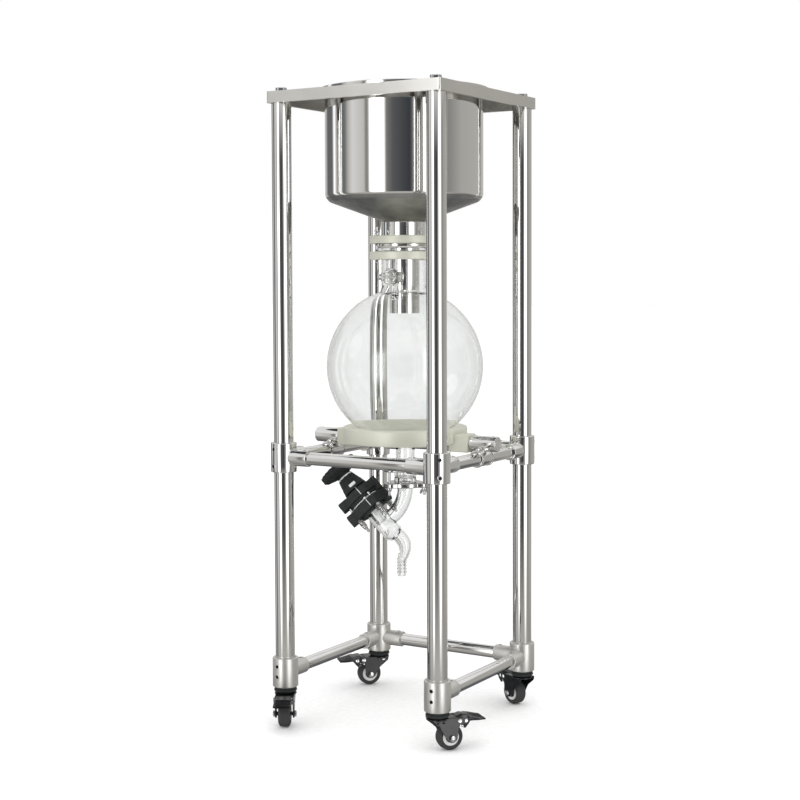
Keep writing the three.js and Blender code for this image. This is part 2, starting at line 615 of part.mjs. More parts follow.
function upperFlangeGeometry() {
  const { bodyTop, upperFoot, bonnetSeat, upperTop } = VALVE_STACK;
  const body = revolve([
    [28 + GAP, upperFoot], [35, upperFoot], [35, bonnetSeat], [40.5, bonnetSeat],
    [40.5, upperTop - 4], [36, upperTop - 1], [24, upperTop], [20 + GAP, upperTop],
    [20 + GAP, bonnetSeat], [28 + GAP, bonnetSeat]], 24);
  const lugs = [
    clampLug(LUG_AZIMUTH, 34, 48.5, bonnetSeat, upperTop - 2),
    clampLug(LUG_AZIMUTH + 180, 35.5, 44, bodyTop + GAP, upperTop - 2)];
  return carve([body, ...lugs], boltSlots(bodyTop, upperTop + 5));
}

/** Moulded bonnet: the flange held by the upper ring and the neck the spindle runs in. */
function valveBonnetGeometry() {
  const { upperFoot, bonnetSeat, upperTop, bonnetTop } = VALVE_STACK;
  const bore = VALVE_STEM_R + GAP;
  return revolve([
    [bore, upperFoot], [28, upperFoot], [28, bonnetSeat - GAP], [20, bonnetSeat - GAP],
    [20, upperTop], [15, bonnetTop - 7.5], [14, bonnetTop - 5], [14, bonnetTop], [bore, bonnetTop]], 20);
}

function valveStemGeometry() {
  return revolve([
    [0, 8], [6, 8], [VALVE_BORE - 1, 15], [VALVE_BORE - 1, 30], [VALVE_STEM_R, 33],
    [VALVE_STEM_R, VALVE_STACK.stemTop], [0, VALVE_STACK.stemTop]], 14);
}

function valveKnobGeometry() {
  const { knobFoot, knobTop, stemTop } = VALVE_STACK;
  const bore = VALVE_STEM_R + GAP;
  return revolve([
    [0, stemTop + GAP], [bore, stemTop + GAP], [bore, knobFoot], [KNOB_R - 7, knobFoot],
    [KNOB_R, knobFoot + 3], [KNOB_R, knobTop - 2.5], [KNOB_R - 3, knobTop], [0, knobTop]], 24);
}

function addDrainValve() {
  const plane = new THREE.Group();
  plane.rotation.z = rad(VALVE_HEADING);
  assembly.add(plane);
  piece('valve_body', valveBodyGeometry(), glass, plane);
  const leaning = new THREE.Group();
  leaning.position.set(VALVE_FOOT.h, 0, VALVE_FOOT.z);
  leaning.rotation.y = rad(VALVE_TILT);
  plane.add(leaning);
  const gasket = tube(33, VALVE_BORE, VALVE_STACK.bodyTop + GAP, VALVE_STACK.upperFoot - GAP, 24);
  piece('valve_flange_lower', lowerFlangeGeometry(), blackPlastic, leaning);
  piece('valve_gasket', gasket, fluoro, leaning);
  piece('valve_flange_upper', upperFlangeGeometry(), blackPlastic, leaning);
  piece('valve_bonnet', valveBonnetGeometry(), blackPlastic, leaning);
  piece('valve_stem', valveStemGeometry(), fluoro, leaning);
  piece('valve_knob', valveKnobGeometry(), blackPlastic, leaning);
}

addFrame();
addCasters();
addFunnel();
addNeckClamp();
addFlask();
addSupportRing();
addOutletClamp();
addDrainValve();

export default assembly;
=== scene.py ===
"""Looks of a floor-standing laboratory vacuum filter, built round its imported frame.

The frame gives every place and axis. Each sub-assembly is a class that shapes its pieces in
millimetres, in the frame's own axes, dresses them with a finish and hangs them on a body.
"""

import json
import logging
import math
from dataclasses import dataclass
from enum import Enum
from typing import Callable, Iterable, Sequence

import bmesh
import bpy
from mathutils import Matrix, Vector


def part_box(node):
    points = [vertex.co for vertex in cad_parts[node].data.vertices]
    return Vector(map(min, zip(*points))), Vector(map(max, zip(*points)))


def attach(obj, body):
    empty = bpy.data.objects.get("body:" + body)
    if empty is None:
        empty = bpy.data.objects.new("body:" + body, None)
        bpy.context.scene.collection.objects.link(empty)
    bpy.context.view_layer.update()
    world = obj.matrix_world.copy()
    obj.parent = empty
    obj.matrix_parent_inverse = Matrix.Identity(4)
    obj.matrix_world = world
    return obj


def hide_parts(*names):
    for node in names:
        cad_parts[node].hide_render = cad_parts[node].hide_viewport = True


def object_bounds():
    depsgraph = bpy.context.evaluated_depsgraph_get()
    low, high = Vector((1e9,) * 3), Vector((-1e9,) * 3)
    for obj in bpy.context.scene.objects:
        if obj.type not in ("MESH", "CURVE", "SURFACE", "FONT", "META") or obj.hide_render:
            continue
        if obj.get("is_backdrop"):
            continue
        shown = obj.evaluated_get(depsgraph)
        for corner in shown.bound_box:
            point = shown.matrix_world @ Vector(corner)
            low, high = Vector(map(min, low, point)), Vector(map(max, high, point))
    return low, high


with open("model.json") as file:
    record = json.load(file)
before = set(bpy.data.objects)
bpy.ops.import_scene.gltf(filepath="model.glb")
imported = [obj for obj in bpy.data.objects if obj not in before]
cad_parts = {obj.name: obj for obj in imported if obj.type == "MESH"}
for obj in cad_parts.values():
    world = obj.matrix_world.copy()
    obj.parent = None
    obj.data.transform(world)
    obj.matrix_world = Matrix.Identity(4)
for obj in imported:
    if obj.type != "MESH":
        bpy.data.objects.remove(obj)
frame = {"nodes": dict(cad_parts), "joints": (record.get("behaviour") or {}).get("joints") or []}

MM = 0.001
TURN = 2 * math.pi
STAND = "stand"
CORNERS = ("front_left", "front_right", "back_right", "back_left")
SMOOTH_LIMIT = math.radians(38)
FLAT_AREA = 600
CAD_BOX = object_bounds()

Corner = Sequence[float]
log = logging.getLogger("vacuum_filter")


# ------------------------------------------------------------------ places from the frame
def span(node: str) -> tuple[Vector, Vector]:
    """Lowest and highest corner of a CAD node, in millimetres."""
    low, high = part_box(node)
    return low / MM, high / MM


def centre(node: str) -> Vector:
    """Middle of a CAD node's box, in millimetres."""
    low, high = span(node)
    return (low + high) / 2


def joint(name: str) -> tuple[Vector, Vector]:
    """Point and direction of a joint's axis.

    Args:
        name: The joint's name in the record.

    Returns:
        The point in millimetres, and the unit direction.
    """
    found = next(j for j in frame["joints"] if j["name"] == name)
    return Vector(found.get("pos_m", (0, 0, 0))) / MM, Vector(found["axis"]).normalized()


def shift(x: float = 0, y: float = 0, z: float = 0) -> Matrix:
    """Move by a number of millimetres."""
    return Matrix.Translation((x, y, z))


def turn(degrees: float, axis: str = "Z") -> Matrix:
    """Turn about one of the axes."""
    return Matrix.Rotation(math.radians(degrees), 4, axis)


def pointing(direction: Vector) -> Matrix:
    """Turn that brings +Z onto a direction."""
    return Vector(direction).to_track_quat("Z", "Y").to_matrix().to_4x4()


# --------------------------------------------------------------------------- shader maths
class Field:
    """A number that varies over a surface, with the arithmetic of a Python number."""

    def __init__(self, tree: "Graph", socket: bpy.types.NodeSocket) -> None:
        """Wraps the socket that carries the number."""
        self.tree = tree
        self.socket = socket

    def _math(self, operation: str, left: "Field | float", right: "Field | float") -> "Field":
        """One Math node on two values."""
        return self.tree.field("ShaderNodeMath", {"operation": operation}, {0: left, 1: right})

    def __add__(self, other: "Field | float") -> "Field":
        """Sum."""
        return self._math("ADD", self, other)

    __radd__ = __add__

    def __sub__(self, other: "Field | float") -> "Field":
        """Difference."""
        return self._math("SUBTRACT", self, other)

    def __rsub__(self, other: "Field | float") -> "Field":
        """Difference from a number."""
        return self._math("SUBTRACT", other, self)

    def __mul__(self, other: "Field | float") -> "Field":
        """Product."""
        return self._math("MULTIPLY", self, other)

    __rmul__ = __mul__

    def __gt__(self, other: "Field | float") -> "Field":
        """One where the field is the larger, and nought elsewhere."""
        return self._math("GREATER_THAN", self, other)


class Graph:
    """Node tree, built node by node."""

    def __init__(self, owner: bpy.types.Material | bpy.types.World) -> None:
        """Turns the owner's nodes on and keeps hold of them."""
        owner.use_nodes = True
        self.nodes = owner.node_tree.nodes
        self.links = owner.node_tree.links

    def node(self, kind: str, settings: dict | None = None, sockets: dict | None = None) -> bpy.types.Node:
        """Adds a node.

        Args:
            kind: The node's type.
            settings: Its own settings; "stops" are the places and colours of a ramp.
            sockets: Values, fields or sockets for its inputs.

        Returns:
            The node.
        """
        made = self.nodes.new(kind)
        for key, value in (settings or {}).items():
            if key == "stops":
                fill_ramp(made.color_ramp, value)
            else:
                setattr(made, key, value)
        for key, value in (sockets or {}).items():
            self.feed(made.inputs[key], value)
        return made

    def feed(self, socket: bpy.types.NodeSocket, value: object) -> None:
        """Sets an input to a number, or links it to a field or socket."""
        if isinstance(value, Field):
            self.links.new(value.socket, socket)
        elif isinstance(value, bpy.types.NodeSocket):
            self.links.new(value, socket)
        else:
            socket.default_value = value

    def ramp(self, share: Field, *stops: tuple[float, float]) -> Field:
        """Grey level read off a ramp of places and levels."""
        return self.field("ShaderNodeValToRGB", {"stops": stops}, {0: share})

    def blend(self, mask: Field, low: "Field | Corner", high: "Field | Corner") -> Field:
        """Colour between two colours or fields, by a mask."""
        return self.field("ShaderNodeMix", {"data_type": "RGBA"}, {0: mask, 6: low, 7: high}, 2)

    def field(self, kind: str, settings: dict | None = None, sockets: dict | None = None,
              output: int | str = 0) -> Field:
        """Adds a node and takes one of its outputs as a field."""
        return Field(self, self.node(kind, settings, sockets).outputs[output])


class Tree(Graph):
    """Node tree of one finish, round its Principled shader."""

    def __init__(self, name: str) -> None:
        """Makes a material with the shader in it."""
        self.material = bpy.data.materials.new(name)
        super().__init__(self.material)
        self.shader = self.nodes["Principled BSDF"]

    def noise(self, per_metre: float, stretch: Corner = (1, 1, 1), detail: float = 3) -> Field:
        """Noise of a given fineness in the piece's own coordinates."""
        place = self.node("ShaderNodeTexCoord")
        mapped = self.node("ShaderNodeMapping", {}, {"Vector": place.outputs["Object"], "Scale": stretch})
        return self.field("ShaderNodeTexNoise", {}, {
            "Vector": mapped.outputs[0], "Scale": per_metre, "Detail": detail})

    def contrast(self, field: Field, low: float, high: float) -> Field:
        """Stretches the stretch from low to high of a field to the whole of 0 to 1."""
        return self.field("ShaderNodeMapRange", {}, {"Value": field, "From Min": low, "From Max": high})

    def colour(self, mask: Field, dark: Corner, light: Corner) -> None:
        """Base colour between two colours, by a mask."""
        self.feed(self.shader.inputs["Base Color"], self.blend(mask, (*dark, 1), (*light, 1)))

    def bump(self, height: Field, strength: float, depth_mm: float) -> None:
        """Relief on the shader's normal."""
        made = self.node("ShaderNodeBump", {}, {
            "Height": height, "Strength": strength, "Distance": depth_mm * MM})
        self.feed(self.shader.inputs["Normal"], made.outputs[0])

    def set(self, **sockets: object) -> None:
        """Sets shader inputs; an underscore stands for a space in their names."""
        for key, value in sockets.items():
            self.feed(self.shader.inputs[key.replace("_", " ")], value)


def fill_ramp(ramp: bpy.types.ColorRamp, stops: Sequence[tuple[float, float]]) -> None:
    """Gives a ramp its stops, as places and grey levels."""
    while len(ramp.elements) > 1:
        ramp.elements.remove(ramp.elements[-1])
    ramp.elements[0].position = stops[0][0]
    ramp.elements[0].color = shade(stops[0][1])
    for place, level in stops[1:]:
        ramp.elements.new(place).color = shade(level)


def shade(level: float) -> tuple[float, float, float, float]:
    """Grey of a level: cool where it is dark, warm in the middle and plain where it is bright."""
    warmth = -0.14 if level < 0.1 else -0.06 if level < 0.2 else 0.05 if level < 0.7 else 0
    return level * (1 + warmth / 2), level, level * (1 - warmth), 1


# ------------------------------------------------------------------------------- finishes
class Grain(Enum):
    """Direction in which a metal was drawn or ground, as the stretch of its lines."""

    X = (0.012, 1, 1)
    Y = (1, 0.012, 1)
    Z = (1, 1, 0.012)
    ROUND = (0.35, 0.35, 1)


@dataclass(frozen=True)
class Finish:
    """A surface finish and the record's slot that it belongs to."""

    name: str
    slot: str

    def material(self) -> bpy.types.Material:
        """The finish as a material, made the first time it is asked for."""
        made = bpy.data.materials.get(self.name)
        if made is None:
            tree = Tree(self.name)
            self.dress(tree)
            made = tree.material
        return made

    def dress(self, tree: Tree) -> None:
        """Fills the material's tree."""
        raise NotImplementedError


@dataclass(frozen=True)
class Steel(Finish):
    """Drawn, polished or ground stainless steel."""

    grain: Grain = Grain.Z
    tint: tuple[float, float, float] = (0.86, 0.855, 0.84)
    roughness: float = 0.02
    haze: float = 0.03
    lines: float = 0.06

    def dress(self, tree: Tree) -> None:
        """Fine lines along the grain over a faint cloudy haze."""
        cloud = tree.contrast(tree.noise(9, detail=4), 0.35, 0.68)
        drawn = tree.noise(1500, self.grain.value, 2)
        tree.colour(cloud * 0.6 + drawn * 0.4, tuple(0.9 * c for c in self.tint), self.tint)
        tree.set(Metallic=1.0, Roughness=self.roughness + cloud * self.haze + drawn * self.haze)
        tree.bump(drawn, self.lines, 0.02)


@dataclass(frozen=True)
class SpunSteel(Steel):
    """Polished steel with a duller, ring-brushed cone between two heights in metres."""

    cone_foot: float = 0.979
    cone_top: float = 1.027

    def dress(self, tree: Tree) -> None:
        """The polished sheet, with the cone left as spun."""
        super().dress(tree)
        place = tree.node("ShaderNodeTexCoord").outputs["Object"]
        height = tree.field("ShaderNodeSeparateXYZ", {}, {0: place}, 2)
        cone = (height > self.cone_foot) * (1 - (height > self.cone_top))
        rings = tree.noise(700, (0.02, 0.02, 1), 3)
        streaks = tree.contrast(tree.noise(26, (1, 1, 0.05), 3), 0.35, 0.65)
        tree.colour(cone * (0.6 + streaks * 0.4), self.tint, tuple(0.45 * c for c in self.tint))
        tree.set(Roughness=self.roughness + rings * self.haze + cone * (rings * 0.14 + 0.28))


@dataclass(frozen=True)
class ClearGlass(Finish):
    """Blown borosilicate glass, faintly wavy and faintly hazed."""

    tint: tuple[float, float, float] = (0.962, 0.97, 0.966)

    def dress(self, tree: Tree) -> None:
        """Clear body with slow waves from blowing."""
        waves = tree.noise(11, (1, 1, 0.6), 1)
        haze = tree.contrast(tree.noise(60, detail=4), 0.5, 0.9)
        tree.colour(haze, self.tint, (1.0, 1.0, 1.0))
        tree.set(Transmission_Weight=1.0, IOR=1.47, Roughness=haze * 0.02)
        tree.bump(waves, 0.1, 0.3)


@dataclass(frozen=True)
class Coating(Finish):
    """Sprayed coating with a slight orange-peel skin."""

    tint: tuple[float, float, float] = (0.72, 0.725, 0.63)
    roughness: float = 0.38

    def dress(self, tree: Tree) -> None:
        """Cream-grey coat with soft patches and a pebbled skin."""
        peel = tree.noise(900, detail=2)
        patches = tree.contrast(tree.noise(28, detail=4), 0.3, 0.7)
        tree.colour(patches, tuple(0.94 * c for c in self.tint), self.tint)
        tree.set(Roughness=self.roughness + peel * 0.14)
        tree.bump(peel, 0.18, 0.08)


@dataclass(frozen=True)
class Moulding(Finish):
    """Moulded or coated black, from matt grained plastic to glossy paint."""

    tint: tuple[float, float, float] = (0.006, 0.0065, 0.008)
    roughness: float = 0.2
    grain_per_metre: float = 2200
    relief: float = 0.25

    def dress(self, tree: Tree) -> None:
        """Grained skin with worn, slightly lighter patches."""
        skin = tree.noise(self.grain_per_metre, detail=2)
        wear = tree.contrast(tree.noise(70, detail=5), 0.45, 0.75)
        tree.colour(wear, self.tint, tuple(1.7 * c for c in self.tint))
        tree.set(Roughness=self.roughness + skin * 0.12 + wear * 0.06)
        tree.bump(skin, self.relief, 0.05)


@dataclass(frozen=True)
class Pale(Finish):
    """Pale polymer: fluoropolymer, silicone or a wheel's light hub."""

    tint: tuple[float, float, float] = (0.9, 0.9, 0.885)
    roughness: float = 0.32

    def dress(self, tree: Tree) -> None:
        """Slightly mottled body with a smooth skin."""
        mottle = tree.contrast(tree.noise(90, detail=4), 0.3, 0.7)
        skin = tree.noise(1400, detail=2)
        tree.colour(mottle, tuple(0.93 * c for c in self.tint), self.tint)
        tree.set(Roughness=self.roughness + skin * 0.1)
        tree.bump(skin, 0.1, 0.03)


TUBE_Z = Steel("polished_tube_upright", "polished_tube")
TUBE_X = Steel("polished_tube_across", "polished_tube", Grain.X)
TUBE_Y = Steel("polished_tube_deep", "polished_tube", Grain.Y)
TEE = Steel("polished_tee", "polished_tube", Grain.ROUND, roughness=0.03)
SATIN = Steel("satin_steel", "satin_steel", Grain.ROUND, (0.97, 0.965, 0.95), 0.1, 0.08, 0.2)
STAMPED = Steel("stamped_steel", "satin_steel", Grain.ROUND, (0.62, 0.62, 0.61), 0.1, 0.07, 0.2)
PLATE = Steel("satin_sheet", "satin_steel", Grain.X, (0.84, 0.825, 0.79), 0.27, 0.09, 0.3)
SHEET = Steel("polished_sheet", "polished_sheet", Grain.Z, (0.86, 0.855, 0.84), 0.06, 0.05, 0.12)
SPUN = SpunSteel("spun_sheet", "polished_sheet", Grain.Z, (0.88, 0.875, 0.86), 0.04, 0.04, 0.12)
BRIGHT = Steel("bright_fastener", "zinc_bolt", Grain.ROUND, (0.66, 0.67, 0.685), 0.04, 0.05, 0.08)
GLASS = ClearGlass("clear_glass", "borosilicate")
COATED = Coating("coated_casting", "coated_casting")
BLACK = Moulding("black_moulding", "black_moulding")
PRESSED = Moulding("black_pressing", "caster_black", (0.007, 0.0075, 0.009), 0.13, 1500, 0.1)
TREAD = Moulding("tread", "tread", (0.012, 0.0125, 0.014), 0.24, 1800, 0.15)
HUB = Pale("light_hub", "tread", (0.74, 0.735, 0.72), 0.25)
FLUORO = Pale("fluoropolymer", "fluoropolymer")
SILICONE = Pale("silicone", "silicone", (0.72, 0.71, 0.66), 0.45)


# --------------------------------------------------------------------------------- shapes
class Form:
    """A mesh being shaped, in millimetres."""

    def __init__(self) -> None:
        """Starts an empty mesh."""
        self.bm = bmesh.new()

    def add(self, other: "Form", place: Matrix = Matrix()) -> "Form":
        """Takes another form in.

        Args:
            other: The form to take in; it stays as it is.
            place: Where it goes.

        Returns:
            This form.
        """
        mesh = other.mesh(place)
        self.bm.from_mesh(mesh)
        bpy.data.meshes.remove(mesh)
        return self

    def mesh(self, place: Matrix = Matrix()) -> bpy.types.Mesh:
        """A mesh of the form at a place."""
        made = bpy.data.meshes.new("shape")
        self.bm.to_mesh(made)
        made.transform(place)
        return made

    def outward(self) -> "Form":
        """Closes its doubles and turns its faces outwards."""
        bmesh.ops.remove_doubles(self.bm, verts=self.bm.verts, dist=1e-4)
        bmesh.ops.recalc_face_normals(self.bm, faces=self.bm.faces)
        return self

    def bevelled(self, radius: float, above: float = 50, segments: int = 3) -> "Form":
        """Rounds the edges that are sharper than an angle in degrees."""
        sharp = [e for e in self.bm.edges
                 if len(e.link_faces) == 2 and e.calc_face_angle() > math.radians(above)]
        bmesh.ops.bevel(self.bm, geom=sharp, offset=radius, segments=segments, profile=0.5,
                        material=-1, affect="EDGES", clamp_overlap=True)
        return self

    def cut(self, tool: "Form", operation: str = "DIFFERENCE") -> "Form":
        """Cuts, joins or meets this form with another."""
        blank = bpy.data.objects.new("blank", self.mesh())
        cutter = bpy.data.objects.new("cutter", tool.mesh())
        for item in (blank, cutter):
            bpy.context.scene.collection.objects.link(item)
        boolean = blank.modifiers.new("cut", "BOOLEAN")
        boolean.object = cutter
        boolean.operation = operation
        boolean.solver = "EXACT"
        view = bpy.context.evaluated_depsgraph_get()
        result = bpy.data.meshes.new_from_object(blank.evaluated_get(view))
        self.bm.clear()
        self.bm.from_mesh(result)
        for item in (blank, cutter):
            bpy.data.objects.remove(item)
        return self


def softened(corners: Iterable[Corner], closed: bool = False, steps: int = 4) -> list[tuple[float, float]]:
    """Outline with arcs at its corners.

    Args:
        corners: Points, with a third number where a corner is rounded: the radius.
        closed: Whether the outline closes on itself.
        steps: Pieces in each arc.

    Returns:
        The outline's points.
    """
    points = list(corners)
    outline: list[tuple[float, float]] = []
    for i, corner in enumerate(points):
        here = Vector(corner[:2])
        if len(corner) < 3 or (not closed and i in (0, len(points) - 1)):
            outline.append(tuple(here))
            continue
        back = (Vector(points[i - 1][:2]) - here).normalized()
        on = (Vector(points[(i + 1) % len(points)][:2]) - here).normalized()
        half = back.angle(on) / 2
        middle = here + (back + on).normalized() * (corner[2] / math.sin(half))
        arm = here + back * (corner[2] / math.tan(half)) - middle
        end = here + on * (corner[2] / math.tan(half)) - middle
        sweep = math.copysign(math.pi - 2 * half, arm.x * end.y - arm.y * end.x)
        for step in range(steps + 1):
            rotated = Matrix.Rotation(sweep * step / steps, 2) @ arm
            outline.append(tuple(middle + rotated))
    return outline


def arc(middle_z: float, radius: float, start: float, end: float, steps: int) -> list[tuple[float, float]]:
    """Arc of a circle about a point on the axis, from one latitude to another in degrees."""
    angles = [math.radians(start + (end - start) * i / steps) for i in range(steps + 1)]
    return [(radius * math.cos(a), middle_z + radius * math.sin(a)) for a in angles]


def turned(profile: Sequence[Corner], sides: int = 72, closed: bool = True,
           degrees: float = 360) -> Form:
    """Solid of revolution about Z.

    Args:
        profile: Radius and height of each point.
        sides: Steps round the axis.
        closed: Whether the profile closes on itself; one that ends on the axis doesn't.
        degrees: How far round it goes.

    Returns:
        The form.
    """
    form = Form()
    points = [form.bm.verts.new((r, 0, z)) for r, z in profile]
    pairs = list(zip(points, points[1:])) + ([(points[-1], points[0])] if closed else [])
    edges = [form.bm.edges.new(pair) for pair in pairs]
    full = degrees >= 360
    if not full:
        form.bm.faces.new(points)
    geometry = points + edges if full else list(form.bm.faces) + edges + points
    bmesh.ops.spin(form.bm, geom=geometry, cent=(0, 0, 0), axis=(0, 0, 1), dvec=(0, 0, 0),
                   angle=math.radians(degrees), steps=sides, use_merge=full, use_duplicate=False)
    return form.outward()


def rod(radius: float, z0: float, z1: float, edge: float = 0.4, sides: int = 32) -> Form:
    """Round bar with softened ends."""
    return turned(softened([(0, z0), (radius, z0, edge), (radius, z1, edge), (0, z1)], steps=3),
                  sides, closed=False)


def ring(outer: float, inner: float, z0: float, z1: float, edge: float = 0.6, sides: int = 72) -> Form:
    """Tube or washer with softened edges."""
    return turned(softened([(outer, z0, edge), (outer, z1, edge), (inner, z1, edge / 2),
                            (inner, z0, edge / 2)], closed=True, steps=3), sides)


def box(low: Corner, high: Corner, edge: float = 0.6) -> Form:
    """Block between two corners, with rounded edges."""
    form = Form()
    low, high = Vector(low), Vector(high)
    size = Matrix.Diagonal((*(high - low), 1))
    bmesh.ops.create_cube(form.bm, size=1, matrix=Matrix.Translation((low + high) / 2) @ size)
    return form.bevelled(edge) if edge else form


def slab(outline: Sequence[Corner], thickness: float, edge: float = 0.4) -> Form:
    """Plate of an outline in X and Z, centred on Y = 0."""
    form = Form()
    face = form.bm.faces.new([form.bm.verts.new((x, -thickness / 2, z)) for x, z in outline])
    grown = bmesh.ops.extrude_face_region(form.bm, geom=[face])
    bmesh.ops.translate(form.bm, vec=(0, thickness, 0),
                        verts=[v for v in grown["geom"] if isinstance(v, bmesh.types.BMVert)])
    form.outward()
    return form.bevelled(edge, above=60, segments=2) if edge else form


def radial(radius: Callable[[float], float], inner: float, z0: float, z1: float,
           edge: float = 0.6, sides: int = 144) -> Form:
    """Disc or ring about Z whose rim follows a formula.

    Args:
        radius: Rim radius for an angle in radians.
        inner: Radius of the hole, or 0.
        z0: Lower face.
        z1: Upper face.
        edge: Rounding of the edges.
        sides: Points round the rim.

    Returns:
        The form.
    """
    form = Form()
    rim = bmesh.ops.create_circle(form.bm, radius=1, segments=sides, cap_ends=not inner)["verts"]
    for vert in rim:
        vert.co = vert.co.normalized() * radius(math.atan2(vert.co.y, vert.co.x))
    if inner:
        bmesh.ops.create_circle(form.bm, radius=inner, segments=sides, cap_ends=False)
        bmesh.ops.bridge_loops(form.bm, edges=form.bm.edges)
    grown = bmesh.ops.extrude_face_region(form.bm, geom=list(form.bm.faces))
    top = [v for v in grown["geom"] if isinstance(v, bmesh.types.BMVert)]
    bmesh.ops.translate(form.bm, vec=(0, 0, z1 - z0), verts=top)
    bmesh.ops.translate(form.bm, vec=(0, 0, z0), verts=form.bm.verts)
    form.outward()
    flat = [e for e in form.bm.edges if len(e.link_faces) == 2
            and e.calc_face_angle() > 1 and abs(e.verts[0].co.z - e.verts[1].co.z) < 1e-3]
    bmesh.ops.bevel(form.bm, geom=flat, offset=edge, segments=3, profile=0.5, material=-1,
                    affect="EDGES", clamp_overlap=True)
    return form


def prism(across: float, sides: int, z0: float, z1: float, edge: float = 0.5) -> Form:
    """Regular prism about Z, measured across its flats."""
    form = Form()
    bmesh.ops.create_cone(form.bm, cap_ends=True, segments=sides, depth=z1 - z0,
                          radius1=across / 2 / math.cos(math.pi / sides),
                          radius2=across / 2 / math.cos(math.pi / sides),
                          matrix=shift(z=(z0 + z1) / 2))
    return form.bevelled(edge, above=40, segments=2)


def pipe(points: Sequence[Corner], radius: Callable[[float], float] | float, sides: int = 24,
         capped: bool = True) -> Form:
    """Round bar swept through points.

    Args:
        points: Where its axis goes.
        radius: Its radius, or the radius for a share of the way from 0 to 1.
        sides: Points round it.
        capped: Whether its ends are closed.

    Returns:
        The form.
    """
    form = Form()
    size = radius if callable(radius) else (lambda share: radius)
    route = [Vector(p) for p in points]
    heading = (route[1] - route[0]).normalized()
    start = Matrix.Translation(route[0]) @ pointing(heading)
    loop = bmesh.ops.create_circle(form.bm, radius=size(0), segments=sides, cap_ends=capped, matrix=start)
    edges = [e for e in form.bm.edges if e.verts[0] in loop["verts"]]
    for i in range(1, len(route)):
        onward = (route[min(i + 1, len(route) - 1)] - route[i - 1]).normalized()
        grown = bmesh.ops.extrude_edge_only(form.bm, edges=edges)["geom"]
        verts = [v for v in grown if isinstance(v, bmesh.types.BMVert)]
        edges = [e for e in grown if isinstance(e, bmesh.types.BMEdge)]
        bmesh.ops.translate(form.bm, vec=route[i] - route[i - 1], verts=verts)
        swing = heading.rotation_difference(onward).to_matrix()
        bmesh.ops.rotate(form.bm, cent=route[i], matrix=swing, verts=verts)
        ratio = size(i / (len(route) - 1)) / size((i - 1) / (len(route) - 1))
        bmesh.ops.scale(form.bm, vec=(ratio, ratio, ratio), space=Matrix.Translation(-route[i]), verts=verts)
        heading = onward
    if capped:
        bmesh.ops.holes_fill(form.bm, edges=edges, sides=0)
    return form.outward()


def bend(*points: Corner, steps: int = 20) -> list[Vector]:
    """Points along a quadratic curve through a start, a control and an end."""
    a, b, c = (Vector(p) for p in points)
    return [a.lerp(b, i / steps).lerp(b.lerp(c, i / steps), i / steps) for i in range(steps + 1)]


def helix(radius: float, pitch: float, turns: float, z0: float) -> list[Vector]:
    """Points along a coil about Z."""
    count = int(14 * turns)
    return [Vector((radius * math.cos(TURN * turns * i / count), radius * math.sin(TURN * turns * i / count),
                    z0 + pitch * turns * i / count)) for i in range(count + 1)]


def piece(name: str, form: Form, finish: Finish, body: str = STAND, *replaced: str,
          place: Matrix = Matrix()) -> bpy.types.Object:
    """Makes a finished piece of a form.

    Args:
        name: The piece's name.
        form: Its shape.
        finish: What it is dressed with.
        body: The body it rides on.
        replaced: CAD nodes that it stands for.
        place: Where it goes, in millimetres.

    Returns:
        The object.
    """
    for face in form.bm.faces:
        face.smooth = len(face.verts) <= 8 or face.calc_area() < FLAT_AREA
    for edge in form.bm.edges:
        edge.smooth = len(edge.link_faces) != 2 or edge.calc_face_angle(0) < SMOOTH_LIMIT
    mesh = form.mesh(Matrix.Scale(MM, 4) @ place)
    mesh.name = name
    mesh.materials.append(finish.material())
    made = bpy.data.objects.new(name, mesh)
    bpy.context.scene.collection.objects.link(made)
    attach(made, body)
    if replaced:
        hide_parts(*replaced)
    log.info("%s: %d faces on %s", name, len(mesh.polygons), body)
    return made


def clear(made: bpy.types.Object) -> None:
    """Lets soft light and shadow rays pass through a glass piece."""
    made.visible_shadow = False
    made.visible_diffuse = False


